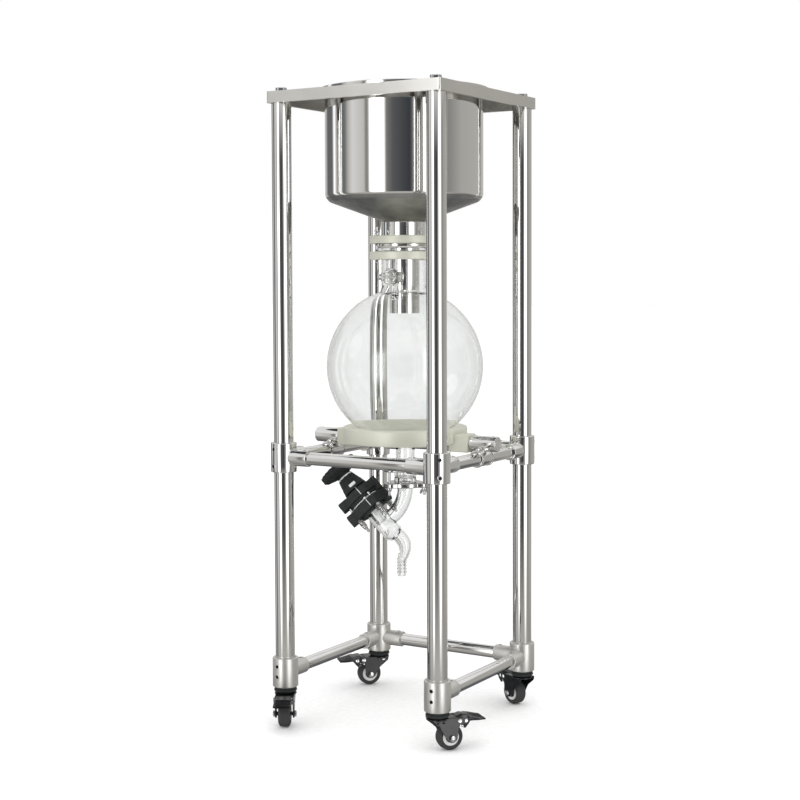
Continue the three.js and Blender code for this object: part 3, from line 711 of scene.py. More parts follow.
# ---------------------------------------------------------------------------- fasteners
@dataclass
class Fasteners:
    """Small turned and stamped fasteners, about +Z, with their seat at Z = 0."""

    stud_r: float = 2.8

    def grub(self, radius: float = 3.6) -> Form:
        """Socket set screw a little below the lip of its hole."""
        form = ring(radius - 0.2, radius * 0.5, -4, 0.1, 0.5, 28)
        return form.add(ring(radius * 0.55, radius * 0.42, -3, -0.3, 0.1, 6)).add(rod(radius * 0.5, -4, -3, 0.1, 12))

    def lip(self, radius: float = 3.6) -> Form:
        """Countersunk lip round a set screw's hole."""
        return ring(radius + 1.3, radius, -1.5, 0.55, 0.5, 36)

    def nut(self, across: float = 8, height: float = 4) -> Form:
        """Hexagon nut."""
        return prism(across, 6, 0, height, 0.45)

    def washer(self, radius: float = 6) -> Form:
        """Flat washer."""
        return ring(radius, self.stud_r + 0.2, 0, 1, 0.25, 32)

    def wing_nut(self, spread: float = 11, height: float = 11) -> Form:
        """Wing nut with a coned hub and two splayed ears."""
        hub = turned(softened([(self.stud_r, 0), (5.2, 0, 0.5), (4.6, 3.5, 0.5), (4, 6, 0.6),
                               (self.stud_r, 6)], closed=True, steps=3), 28)
        ear = slab(softened([(3.2, 1, 0.8), (spread * 0.75, 3.4, 2), (spread, height - 2, 2.4),
                             (spread * 0.72, height, 2.2), (3.2, 5.6, 1)], closed=True), 1.8, 0.5)
        return hub.add(ear).add(ear, turn(180))

    def stud(self, z0: float, z1: float) -> Form:
        """Threaded stud."""
        form = rod(self.stud_r, z0, z1, 0.5, 20)
        for i in range(int((z1 - z0) / 1.6) - 1):
            form.add(ring(self.stud_r + 0.25, self.stud_r - 0.5, z0 + 1.2 + 1.6 * i, z0 + 1.8 + 1.6 * i, 0.12, 20))
        return form

    def spring(self, length: float, radius: float = 5.2) -> Form:
        """Compression spring."""
        return pipe(helix(radius, length / 4, 4, 0), 1.2, 8)


FASTENERS = Fasteners()


# --------------------------------------------------------------------------------- stand
TEE_SCREWS: dict[str, dict[str, tuple[float, float, float]]] = {
    "mid": {"front_left": (-108, 33, 0), "front_right": (-47, 33, 0), "back_right": (47, 33, 0),
            "back_left": (133, 33, 0)},
    "low": {"front_left": (-95, 20, 3), "front_right": (-88, 20, 3), "back_right": (92, 20, 3),
            "back_left": (92, 20, 3)},
}


@dataclass
class Stand:
    """Four tube posts joined by clamped tees and rails, under a folded top plate."""

    post_r: float = 19
    post_wall: float = 1.5
    rail_r: float = 12.5
    tee_r: float = 25
    branch_r: float = 16
    branch_end: float = 60
    plate_corner: float = 5
    plate_hole_r: float = 156.3
    sheet: float = 1.5

    def post(self, corner: str) -> None:
        """Tube post with its plugged head and, on top, its hexagon bolt."""
        low, high = span(f"post_{corner}")
        axis = centre(f"post_{corner}")
        tube = ring(self.post_r, self.post_r - self.post_wall, low.z, high.z, 0.8, 96)
        tube.add(rod(self.post_r - self.post_wall - 0.1, high.z - 20, high.z - 0.6, 0.5, 48))
        piece(f"tube_{corner}", tube, TUBE_Z, STAND, f"post_{corner}", place=shift(axis.x, axis.y))
        foot = span(f"post_bolt_{corner}")[1].z - 7.5
        head = prism(19, 6, foot + 1.2, foot + 7.5, 0.8).add(ring(11.5, 5.9, foot, foot + 1.2, 0.3, 40))
        head.add(rod(5.6, foot - 18, foot + 2, 0.3, 24)).add(rod(4.4, foot + 6.6, foot + 7.7, 0.2, 24))
        piece(f"head_bolt_{corner}", head, BRIGHT, STAND, f"post_bolt_{corner}", place=shift(axis.x, axis.y))

    def tee(self, level: str, corner: str, sides: tuple[int, int]) -> None:
        """Clamped tee: a sleeve on the post with a socket for each rail.

        Args:
            level: "mid" or "low".
            corner: Which post.
            sides: The post's signs along X and Y.
        """
        node = f"{level}_tee_{corner}"
        low, high = span(node)
        sx, sy = sides
        axis = centre(f"post_{corner}")
        height = (low.z + high.z) / 2
        half = (high.z - low.z) / 2
        form = rod(self.tee_r, -half, half, 1.4, 96)
        socket = rod(self.branch_r, 0, self.branch_end, 1.1, 64)
        reach_in_x = abs((high.x if sx < 0 else low.x) - axis.x) > self.tee_r + 5
        reach_in_y = abs((high.y if sy < 0 else low.y) - axis.y) > self.tee_r + 5
        arms = [turn(-90 * sx, "Y")] * reach_in_x + [turn(90 * sy, "X")] * reach_in_y
        for arm in arms:
            form.cut(Form().add(socket, arm), "UNION")
        flare = turned([(0, -half - 1), (self.post_r + 2.4, -half - 1), (self.post_r + 0.15, -half + 1.6),
                        (self.post_r + 0.15, half - 1.6), (self.post_r + 2.4, half + 1), (0, half + 1)], 96, closed=False)
        form.cut(flare)
        for arm in arms:
            form.cut(Form().add(rod(self.rail_r + 0.15, 27, self.branch_end + 1, 0.1, 64), arm))
        azimuth, gap, rise = TEE_SCREWS[level][corner]
        seats = [turn(azimuth) @ shift(self.tee_r, 0, rise + side * gap / 2) @ turn(90, "Y") for side in (-1, 1)]
        for arm in arms:
            seats.append(shift(*(arm @ shift(z=self.branch_end - 10)).to_translation()) @ shift(z=self.branch_r))
        screws = Form()
        for seat in seats:
            form.cut(Form().add(rod(3.6, -4.2, 3, 0.1, 28), seat))
            form.add(FASTENERS.lip(), seat)
            screws.add(FASTENERS.grub(), seat)
        piece(f"{level}_screws_{corner}", screws, PRESSED, place=shift(axis.x, axis.y, height))
        finish = TEE if level == "mid" else SATIN
        piece(f"{level}_clamp_{corner}", form, finish, STAND, node, place=shift(axis.x, axis.y, height))

    def rail(self, name: str) -> None:
        """Round rail between two tees."""
        low, high = span(name)
        middle = centre(name)
        across = high.x - low.x > high.y - low.y
        reach = (high.x - low.x if across else high.y - low.y) / 2
        form = ring(self.rail_r, self.rail_r - 1.5, -reach, reach, 0.5, 72)
        arm = turn(90, "Y") if across else turn(90, "X")
        piece(name.replace("rail", "crossbar"), form, TUBE_X if across else TUBE_Y, STAND, name, place=shift(*middle) @ arm)

    def plate(self) -> None:
        """Folded square tray with a round hole for the funnel."""
        low, high = span("top_plate")
        half = high.x
        corners = [(half, half, self.plate_corner), (-half, half, self.plate_corner),
                   (-half, -half, self.plate_corner), (half, -half, self.plate_corner)]
        rim = softened(corners, closed=True, steps=6)
        inner = [(x * (half - self.sheet) / half, y * (half - self.sheet) / half) for x, y in rim]
        drop = high.z - low.z
        flat = turn(90, "X")
        tray = Form().add(slab([(x, y) for x, y in rim], drop, 0), shift(z=(low.z + high.z) / 2) @ flat)
        hollow = Form().add(slab(inner, drop, 0), shift(z=(low.z + high.z) / 2 - self.sheet) @ flat)
        lip = Form().add(slab([(x * 0.965, y * 0.965) for x, y in rim], 8, 0), shift(z=low.z) @ flat)
        tray.cut(hollow)
        edge = Form().add(slab(inner, self.sheet, 0), shift(z=low.z + self.sheet / 2) @ flat).cut(lip)
        tray.cut(edge, "UNION").cut(rod(self.plate_hole_r, low.z - 5, high.z + 5, 0.1, 160))
        for corner in CORNERS:
            at = centre(f"post_{corner}")
            tray.cut(Form().add(rod(6.1, -30, 30, 0.1, 32), shift(at.x, at.y, high.z)))
        tray.outward().bevelled(0.7, above=40, segments=3)
        piece("tray", tray, PLATE, STAND, "top_plate")

    def build(self) -> None:
        """Builds the whole frame."""
        signs = {"front_left": (-1, -1), "front_right": (1, -1), "back_right": (1, 1), "back_left": (-1, 1)}
        for corner in CORNERS:
            self.post(corner)
            for level in ("mid", "low"):
                self.tee(level, corner, signs[corner])
        for name in sorted(n for n in frame["nodes"] if "_rail_" in n):
            self.rail(name)
        self.plate()


# -------------------------------------------------------------------------------- casters
@dataclass
class Caster:
    """Swivel caster with a brake pedal; its fork trails along +X before it is turned."""

    corner: str
    wheel_r: float = 25
    wheel_half: float = 12
    trail: float = 22.5
    nut_across: float = 10.6
    pedal_half: float = 14.5

    def frame(self) -> Matrix:
        """Place of the caster's own axes: X along its trail."""
        point, _ = joint(f"swivel_turn_{self.corner}")
        axle, _ = joint(f"wheel_spin_{self.corner}")
        heading = math.degrees(math.atan2(axle.y - point.y, axle.x - point.x))
        return shift(point.x, point.y) @ turn(heading)

    def mount(self, place: Matrix) -> None:
        """Plug and stepped collar that close the post's foot."""
        profile = softened([(0, 63), (19, 63, 0.8), (22.5, 66.2, 1), (22.5, 68.2, 0.8), (19.6, 69.6, 0.5),
                            (21.4, 71.2, 0.8), (20.6, 73.7, 0.8), (17.2, 73.7), (17.2, 98, 1), (0, 98)])
        piece(f"collar_{self.corner}", turned(profile, 72, closed=False), BLACK, STAND,
              f"caster_mount_{self.corner}", place=place)

    def cheek(self) -> Form:
        """One pressed side of the fork, with two slots near its top."""
        outline = softened([(-17, 61.9), (-15.5, 54, 3), (2, 40, 8), (13, 21, 6), (22.5, 14.5, 10), (32, 21, 6),
                            (34, 34, 4), (35, 45, 5), (43, 48, 4), (46, 56, 3), (44, 61.9)], closed=True, steps=5)
        plate = slab(outline, 2.5, 0.5)
        for x in (-6, 5):
            slot = slab(softened([(x - 3, 54, 1.2), (x + 3, 54, 1.2), (x + 3, 56.6, 1.2), (x - 3, 56.6, 1.2)],
                                 closed=True), 9, 0)
            plate.cut(slot)
        dish = Form().add(rod(6.5, -2.2, -1.0, 0.6, 32), turn(90, "X"))
        return plate.add(dish, shift(self.trail, 0, self.wheel_r))

    def fork(self, place: Matrix) -> None:
        """Fork with its ball race, bridge, axle and king pin."""
        form = turned(softened([(4, 58, 0.3), (19, 58, 1.2), (21.5, 59.5, 0.8), (21.5, 61.4, 0.8), (16, 62.6, 0.4),
                                (4, 62.6)], closed=True), 72)
        form.add(box((-12, -17, 58.6), (34, 17, 61.6), 1.4))
        for side in (-1, 1):
            form.add(self.cheek(), shift(y=17.25 * side))
        form.add(rod(4, 57, 71, 0.4, 28))
        axle = Form().add(rod(3.9, -17.5, 17.5, 0.2, 28), turn(90, "X"))
        form.add(axle, shift(self.trail, 0, self.wheel_r))
        piece(f"fork_{self.corner}", form, PRESSED, f"swivel_{self.corner}",
              f"caster_fork_{self.corner}", place=place)

    def rivet(self) -> Form:
        """Domed rivet head about +Z."""
        return turned(softened([(0, -1), (4.5, -1, 0.2), (4.5, 1.6, 0.9), (2.4, 3, 0.9), (0, 3)]), 28, closed=False)

    def nuts(self, place: Matrix) -> None:
        """Axle nuts, pedal rivets and the ends of the return spring."""
        form = Form()
        for side in (-1, 1):
            across = turn(-90 * side, "X")
            axle = shift(self.trail, 18.4 * side, self.wheel_r) @ across
            form.add(FASTENERS.nut(self.nut_across, 4.2), axle).add(rod(2.6, 0, 5.2, 0.5, 20), axle)
            form.add(self.rivet(), shift(37, 18.4 * side, 56) @ across)
            form.add(rod(1.7, -1, 1.6, 0.5, 16), shift(38, 18.4 * side, 48) @ across)
        spring = pipe([(38, 11.6, 48), (40, 11.6, 45), (44, 11.6, 43.5), (47, 11.6, 42)], 0.5, 8)
        form.add(spring).add(spring, shift(y=-23.2))
        piece(f"caster_bolts_{self.corner}", form, BRIGHT, f"swivel_{self.corner}", place=place)

    def wheel(self, place: Matrix) -> None:
        """Tyre with a rounded tread, and a light hub disc round a dark centre."""
        half, r = self.wheel_half, self.wheel_r
        tyre = turned(softened([(10.8, -half + 2.4, 0.3), (16.2, -half + 2.4, 0.4), (17, -half + 0.4, 0.5),
                                (19, -half, 1.2), (r - 1.2, -half + 3.2, 3), (r, 0, 40), (r - 1.2, half - 3.2, 3),
                                (19, half, 1.2), (17, half - 0.4, 0.5), (16.2, half - 2.4, 0.4),
                                (10.8, half - 2.4, 0.3)], closed=True), 96)
        hub = turned(softened([(4.4, -half + 1.9, 0.3), (15.9, -half + 1.9, 0.5), (15.9, half - 1.9, 0.5),
                               (4.4, half - 1.9, 0.3)], closed=True), 96)
        cap = turned(softened([(4.3, -half + 0.7, 0.3), (9.8, -half + 1.2, 0.6), (10.4, -half + 2.6, 0.2),
                               (10.4, half - 2.6, 0.2), (9.8, half - 1.2, 0.6), (4.3, half - 0.7, 0.3)],
                              closed=True), 64)
        seat = place @ shift(self.trail, 0, self.wheel_r) @ turn(90, "X")
        body = f"wheel_{self.corner}"
        piece(f"tyre_{self.corner}", tyre, TREAD, body, f"caster_wheel_{self.corner}", place=seat)
        piece(f"hub_{self.corner}", hub, HUB, body, place=seat)
        piece(f"hub_cap_{self.corner}", cap, PRESSED, body, place=seat)

    def pedal(self, place: Matrix) -> None:
        """Brake pedal: an arm on the pivot with a ribbed toe plate."""
        arm = slab(softened([(-4.6, -3, 2), (-1, -5, 2), (6, -5, 2), (8, -9, 4), (10.5, -15, 0.6), (12.5, -15, 0.6),
                             (19, -8, 5), (22, -2.6, 3), (40, -3.5, 8), (51.5, -3, 0.8), (51.5, 0.5, 0.8),
                             (41, 2.5, 6), (26, 6.5, 5), (8, 9, 3), (-3, 5, 3)], closed=True),
                   2 * self.pedal_half, 0.8)
        arm.cut(slab([(-7, -20), (21, -20), (21, -1), (17, 3), (-7, 6)], 2 * self.pedal_half - 3.4, 0))
        arm.add(slab(softened([(17, 3.4, 1), (26, 3, 3), (40, -1.8, 8), (51.5, -2.6, 0.8), (51.5, 0.5, 0.8),
                               (41, 2.5, 6), (26, 6.5, 5), (17, 7.8, 2)], closed=True), 35, 0.7))
        for i in range(6):
            x = 27 + 4 * i
            z = 6.6 - 0.27 * (x - 26) if x < 41 else 2.5 - 0.19 * (x - 41)
            arm.add(Form().add(rod(0.9, -14.5, 14.5, 0.4, 12), turn(90, "X")), shift(x, 0, z))
        pivot, _ = joint(f"brake_{self.corner}")
        point, _ = joint(f"swivel_turn_{self.corner}")
        reach = math.hypot(pivot.x - point.x, pivot.y - point.y)
        seat = place @ shift(reach, 0, pivot.z)
        piece(f"pedal_{self.corner}", arm, PRESSED, f"pedal_{self.corner}",
              f"caster_pedal_{self.corner}", place=seat)
        rivets = Form()
        for side in (-1, 1):
            rivets.add(self.rivet(), shift(13.5, (self.pedal_half - 0.2) * side, -1.5) @ turn(-90 * side, "X"))
        piece(f"pedal_rivets_{self.corner}", rivets, BRIGHT, f"pedal_{self.corner}", place=seat)

    def build(self) -> None:
        """Builds the caster under its post."""
        place = self.frame()
        self.mount(place)
        self.fork(place)
        self.nuts(place)
        self.wheel(place)
        self.pedal(place)


# --------------------------------------------------------------------------------- funnel
@dataclass
class Funnel:
    """Steel filter funnel with a turned-out rim, a perforated plate and its seal."""

    plate_r: float = 149.5
    hole_r: float = 2.2
    hole_pitch: float = 13

    def shell(self) -> None:
        """Pressed shell with a welded drip pipe and flange."""
        top = span("funnel")[1].z
        pipe_foot = span("funnel")[0].z
        profile = softened([
            (30, pipe_foot, 0.4), (30, 840, 2), (31.4, 843, 1), (30, 846, 2), (30, 931, 1.5), (57, 931, 0.6),
            (57, 936, 0.6), (42, 936, 1), (42, 978, 3), (45, 981, 4), (147, 1018.5, 12), (155, 1029, 12),
            (155, top - 10, 0.5), (166, top - 10, 0.8), (166, top, 1.2), (153.2, top, 1.2), (153.2, 1031, 0.4),
            (146, 1031, 0.4), (146, 1021, 6), (43, 982.4, 4), (40.2, 979, 3), (40.2, 934, 1), (28.2, 932, 1),
            (28.2, pipe_foot, 0.4)], closed=True, steps=6)
        piece("funnel_shell", turned(profile, 192), SPUN, STAND, "funnel")

    def plate(self) -> None:
        """Perforated filter plate with a lifting knob."""
        low, high = span("filter_plate")
        form = Form()
        bmesh.ops.create_circle(form.bm, radius=self.plate_r, segments=120)
        rows = int(self.plate_r / self.hole_pitch)
        for i in range(-rows, rows + 1):
            for j in range(-rows, rows + 1):
                x, y = self.hole_pitch * (i + 0.5 * (j % 2)), self.hole_pitch * 0.866 * j
                if 12 < math.hypot(x, y) < self.plate_r - 9:
                    bmesh.ops.create_circle(form.bm, radius=self.hole_r, segments=10, matrix=shift(x, y))
        bmesh.ops.triangle_fill(form.bm, edges=form.bm.edges, use_beauty=True, normal=(0, 0, 1))
        grown = bmesh.ops.extrude_face_region(form.bm, geom=list(form.bm.faces))
        bmesh.ops.translate(form.bm, vec=(0, 0, high.z - low.z),
                            verts=[v for v in grown["geom"] if isinstance(v, bmesh.types.BMVert)])
        form.outward()
        piece("sieve_plate", form, SHEET, "filter", "filter_plate", place=shift(z=low.z))

    def seal(self) -> None:
        """Soft ring that seals the plate against the funnel wall."""
        low, high = span("filter_seal")
        form = turned(softened([(high.x, low.z, 0.8), (high.x, high.z, 1.2), (self.plate_r + 0.3, high.z, 1.2),
                                (self.plate_r + 0.3, low.z, 0.4)], closed=True), 160)
        piece("plate_seal", form, SILICONE, "filter", "filter_seal")

    def build(self) -> None:
        """Builds the funnel and what lies in it."""
        self.shell()
        self.plate()
        self.seal()


@dataclass
class NeckClamp:
    """Two coated rings on three studs that press the flask's neck to the funnel."""

    ring_r: float = 69
    stud_r: float = 61.5
    stud_angles: tuple[float, ...] = (0, 120, 240)
    first_angle: float = 0

    def rings(self) -> None:
        """Upper and lower ring, each with a stepped bore."""
        for node, name, bore in (("upper_clamp_ring", "neck_ring_upper", 43.2),
                                 ("lower_clamp_ring", "neck_ring_lower", 45.2)):
            low, high = span(node)
            form = turned(softened([(self.ring_r, low.z, 1.6), (self.ring_r, high.z, 1.6), (bore, high.z, 1),
                                    (bore, low.z, 1)], closed=True), 128)
            for angle in self.stud_angles:
                form.cut(Form().add(rod(3.2, low.z - 2, high.z + 2, 0.1, 20), turn(angle) @ shift(self.stud_r)))
            piece(name, form, COATED, STAND, node)

    def gasket(self) -> None:
        """Soft gasket between the two flanges, with a rounded outer lip."""
        low, high = span("neck_gasket")
        form = turned(softened([(55, low.z, 0.9), (55, high.z, 0.9), (41, high.z, 0.3), (41, low.z, 0.3)],
                               closed=True), 96)
        piece("neck_seal", form, SILICONE, STAND, "neck_gasket")

    def studs(self) -> None:
        """Studs with nuts between the rings and wing nuts above."""
        low = span("lower_clamp_ring")[0].z
        top = span("upper_clamp_ring")[1].z
        form = Form()
        one = FASTENERS.stud(low - 7, top + 17)
        one.add(FASTENERS.washer(), shift(z=top)).add(FASTENERS.wing_nut(), shift(z=top + 1) @ turn(35))
        one.add(FASTENERS.nut(9, 4.5), shift(z=low - 5)).add(FASTENERS.washer(6.4), shift(z=low - 1))
        one.add(FASTENERS.nut(9, 4), shift(z=span("upper_clamp_ring")[0].z - 4.2))
        one.add(FASTENERS.nut(9, 4), shift(z=span("lower_clamp_ring")[1].z + 0.2))
        for angle in self.stud_angles:
            form.add(one, turn(angle) @ shift(self.stud_r))
        piece("neck_studs", form, BRIGHT, STAND)

    def build(self) -> None:
        """Builds the clamp."""
        self.rings()
        self.gasket()
        self.studs()


# ---------------------------------------------------------------------------------- flask
@dataclass
class Flask:
    """Round glass receiver with a flanged neck, an outlet below and a vacuum stopcock."""

    centre_z: float = 695.6
    radius: float = 154
    wall: float = 3.5
    neck_r: float = 44
    outlet_r: float = 19

    def shell(self) -> Form:
        """Blown shell as one turned wall."""
        mid, r, w = self.centre_z, self.radius, self.wall
        top = span("flask")[1].z
        foot = span("flask")[0].z
        up = math.degrees(math.acos(49 / r))
        down = math.degrees(math.acos((self.outlet_r + 5) / r))
        outer = arc(mid, r, -down, up, 60)
        inner = arc(mid, r - w, up - 0.4, -down + 0.6, 60)
        neck = softened([outer[-1], (self.neck_r, mid + 158, 14), (self.neck_r, top - 7, 3), (57, top - 7, 2),
                         (57, top, 1.2), (self.neck_r - w, top, 1), (self.neck_r - w, mid + 158, 14), inner[0]],
                        steps=7)
        tail = softened([inner[-1], (self.outlet_r - 3.4, 532, 9), (self.outlet_r - 3.4, foot, 0.8),
                         (22, foot, 1.4), (22, foot + 10, 2), (self.outlet_r, foot + 10.5, 2),
                         (self.outlet_r, 535, 9), outer[0]], steps=6)
        return turned(outer + neck[1:-1] + inner + tail[1:-1], 144)

    def build(self) -> None:
        """Builds the vessel with its stopcock, and the key in it."""
        port, axis = joint("port_turn")
        form = self.shell()
        stub = Form().add(turned(softened([(7, -46), (7, -14, 1), (8.2, -9, 1), (7, -6, 1), (7, 0), (3.2, 0),
                                           (3.2, -46)], closed=True), 40))
        form.cut(Form().add(stub, shift(*port)), "UNION")
        across = shift(*port) @ turn(90, "X")
        barrel = ring(10.5, 6.3, -12, 12, 1.2, 56)
        form.cut(Form().add(rod(10.2, -11.5, 11.5, 0.5, 56), across))
        form.cut(Form().add(barrel, across), "UNION")
        nozzle = [(5.5, 9.6)]
        for i in range(4):
            nozzle += [(5.6, 15 + 5.2 * i, 0.6), (7.5, 16.4 + 5.2 * i, 0.8), (5.8, 20 + 5.2 * i, 0.8)]
        nozzle += [(5, 38, 1), (2.6, 38, 0.6), (2.6, 9.6)]
        form.cut(Form().add(turned(softened(nozzle, closed=True), 48), shift(*port) @ turn(-90, "Y")), "UNION")
        clear(piece("receiver", form.outward(), GLASS, STAND, "flask"))
        key = turned(softened([(0, -14), (4.6, -14, 1), (6, -12, 0.5), (6, 12.6, 0.4), (10, 13.4, 0.8), (16, 13.6, 1.2),
                               (17, 15.5, 1.2), (17, 18.5, 1.2), (14.5, 20, 1), (11, 20, 1), (9.4, 16.4, 1),
                               (0, 16)], steps=5), 64, closed=False)
        tab = box((-14, -2.2, 15.4), (14, 2.2, 19.2), 1.2)
        key.add(tab)
        facing = shift(*port) @ pointing(axis)
        clear(piece("stopcock_key", key, GLASS, "port_key", "port_plug", place=facing))


# --------------------------------------------------------------------------------- cradle
@dataclass
class Cradle:
    """Coated support ring under the flask, hung from the side rails on two rods."""

    ring_r: float = 122.5
    bore_r: float = 80
    seat_r: float = 99.5
    rod_r: float = 10.5

    def casting(self) -> None:
        """Ring with a coned seat and an ear on each side."""
        low, high = span("support_ring")
        foot, top = 547.0, high.z
        form = turned(softened([(self.ring_r, foot, 2.2), (self.ring_r, top, 2.4), (self.seat_r, top, 3),
                                (self.bore_r, 562.9, 3), (self.bore_r, foot, 2)], closed=True), 160)
        rod_z = (centre("rail_clamp_left").z + span("rail_clamp_left")[1].z) / 2
        rod_z = span("rail_clamp_left")[1].z - 15
        for side in (-1, 1):
            outer = 150 * side
            inner = 108 * side
            ear = box((min(inner, outer), -18, rod_z - 17.5), (max(inner, outer), 18, rod_z + 17.5), 2.6)
            web = box((min(96 * side, inner + 14 * side), -30, foot + 1), (max(96 * side, inner + 14 * side), 30, top - 1), 4)
            form.cut(web, "UNION").cut(ear, "UNION")
        form.cut(turned([(0, foot - 20), (self.bore_r, foot - 20), (self.bore_r, 562.9), (self.seat_r, top),
                         (self.seat_r, top + 30), (0, top + 30)], 160, closed=False))
        form.outward()
        piece("cradle_ring", form, COATED, STAND, "support_ring")
        reach = span("support_ring")[1].x
        arms = Form()
        for side in (-1, 1):
            arms.add(rod(self.rod_r, 148, reach, 0.8, 56), shift(z=rod_z) @ turn(90 * side, "Y"))
        piece("cradle_rods", arms, TUBE_X, STAND)

    def clamp(self, side: int) -> None:
        """Cross clamp: a sleeve on the rod over a sleeve on the rail, joined by a block.

        Args:
            side: -1 at the left, 1 at the right.
        """
        node = "rail_clamp_left" if side < 0 else "rail_clamp_right"
        low, high = span(node)
        rod_z, rail_z = high.z - 15, low.z + 15.5
        rail_x = 171.5 * side
        form = Form().add(rod(15, 150.3, 207, 1.6, 72), shift(z=rod_z) @ turn(90 * side, "Y"))
        form.cut(box((rail_x - 10, -10, rail_z), (rail_x + 10, 10, rod_z), 1.5), "UNION")
        form.cut(Form().add(rod(15.5, -24, 24, 1.3, 72), shift(rail_x, 0, rail_z) @ turn(90, "X")), "UNION")
        form.cut(Form().add(rod(12.8, -26, 26, 0.1, 72), shift(rail_x, 0, rail_z) @ turn(90, "X")))
        form.cut(Form().add(rod(10.8, 140, 204.4, 0.1, 56), shift(z=rod_z) @ turn(90 * side, "Y")))
        form.add(ring(10.2, 8.6, 205.8, 207.5, 0.4, 56), shift(z=rod_z) @ turn(90 * side, "Y"))
        for end in (-1, 1):
            form.add(ring(16.6, 15, 20 * end - 1.6, 20 * end + 1.6, 0.7, 72),
                     shift(rail_x, 0, rail_z) @ turn(90, "X"))
        for x in (160, 197):
            form.add(FASTENERS.grub(), shift(x * side, 0, rod_z + 15))
        outer = turn(90 * side, "Y")
        for y in (-13, 13):
            form.add(FASTENERS.grub(3), shift(rail_x + 15.4 * side, y, rail_z) @ outer)
        bolt = FASTENERS.nut(10, 5).add(rod(3, 0, 8, 0.5, 20)).add(FASTENERS.washer(6.4), shift(z=-1))
        form.add(bolt, shift(rail_x, -11, (rod_z + rail_z) / 2 + 1) @ turn(90, "X"))
        piece(node.replace("rail", "cross"), form, TEE, STAND, node)

    def build(self) -> None:
        """Builds the ring, its rods and both clamps."""
        self.casting()
        self.clamp(-1)
        self.clamp(1)


# ---------------------------------------------------------------------------- outlet clamp
@dataclass
class OutletClamp:
    """Two lobed steel rings with three studs that join the drain valve to the flask."""

    rim_r: float = 36
    stud_r: float = 40
    angles: tuple[float, ...] = (10, 130, 250)

    def rim(self, angle: float) -> float:
        """Rim radius towards an angle in radians."""
        lobe = max(math.cos(angle - math.radians(a)) for a in self.angles)
        rise = max(0.0, (lobe - 0.88) / 0.12)
        return self.rim_r + 12 * rise * rise * (3 - 2 * rise)

    def build(self) -> None:
        """Builds the rings, the gasket and the studs."""
        for node, name, bore in (("outlet_ring_upper", "drain_ring_upper", 19.8),
                                 ("outlet_ring_lower", "drain_ring_lower", 17.7)):
            low, high = span(node)
            form = radial(self.rim, bore, low.z, high.z, 1.4, 180)
            piece(name, form, STAMPED, STAND, node)
        low = span("valve_body")[1].z
        high = span("flask")[0].z
        piece("drain_seal", ring(20.5, 14, low + 0.2, high - 0.2, 0.6, 64), FLUORO)
        top = span("outlet_ring_upper")[1].z
        foot = span("outlet_ring_lower")[0].z
        one = FASTENERS.stud(foot - 15, top + 8)
        one.add(FASTENERS.washer(6.2), shift(z=foot - 1)).add(FASTENERS.wing_nut(12, 12), shift(z=foot - 1) @ turn(180, "X"))
        one.add(FASTENERS.washer(6.2), shift(z=top)).add(FASTENERS.nut(9, 4.5), shift(z=top + 1))
        form = Form()
        for angle in self.angles:
            form.add(one, turn(angle) @ shift(self.stud_r) @ turn(60))
        piece("drain_studs", form, BRIGHT)


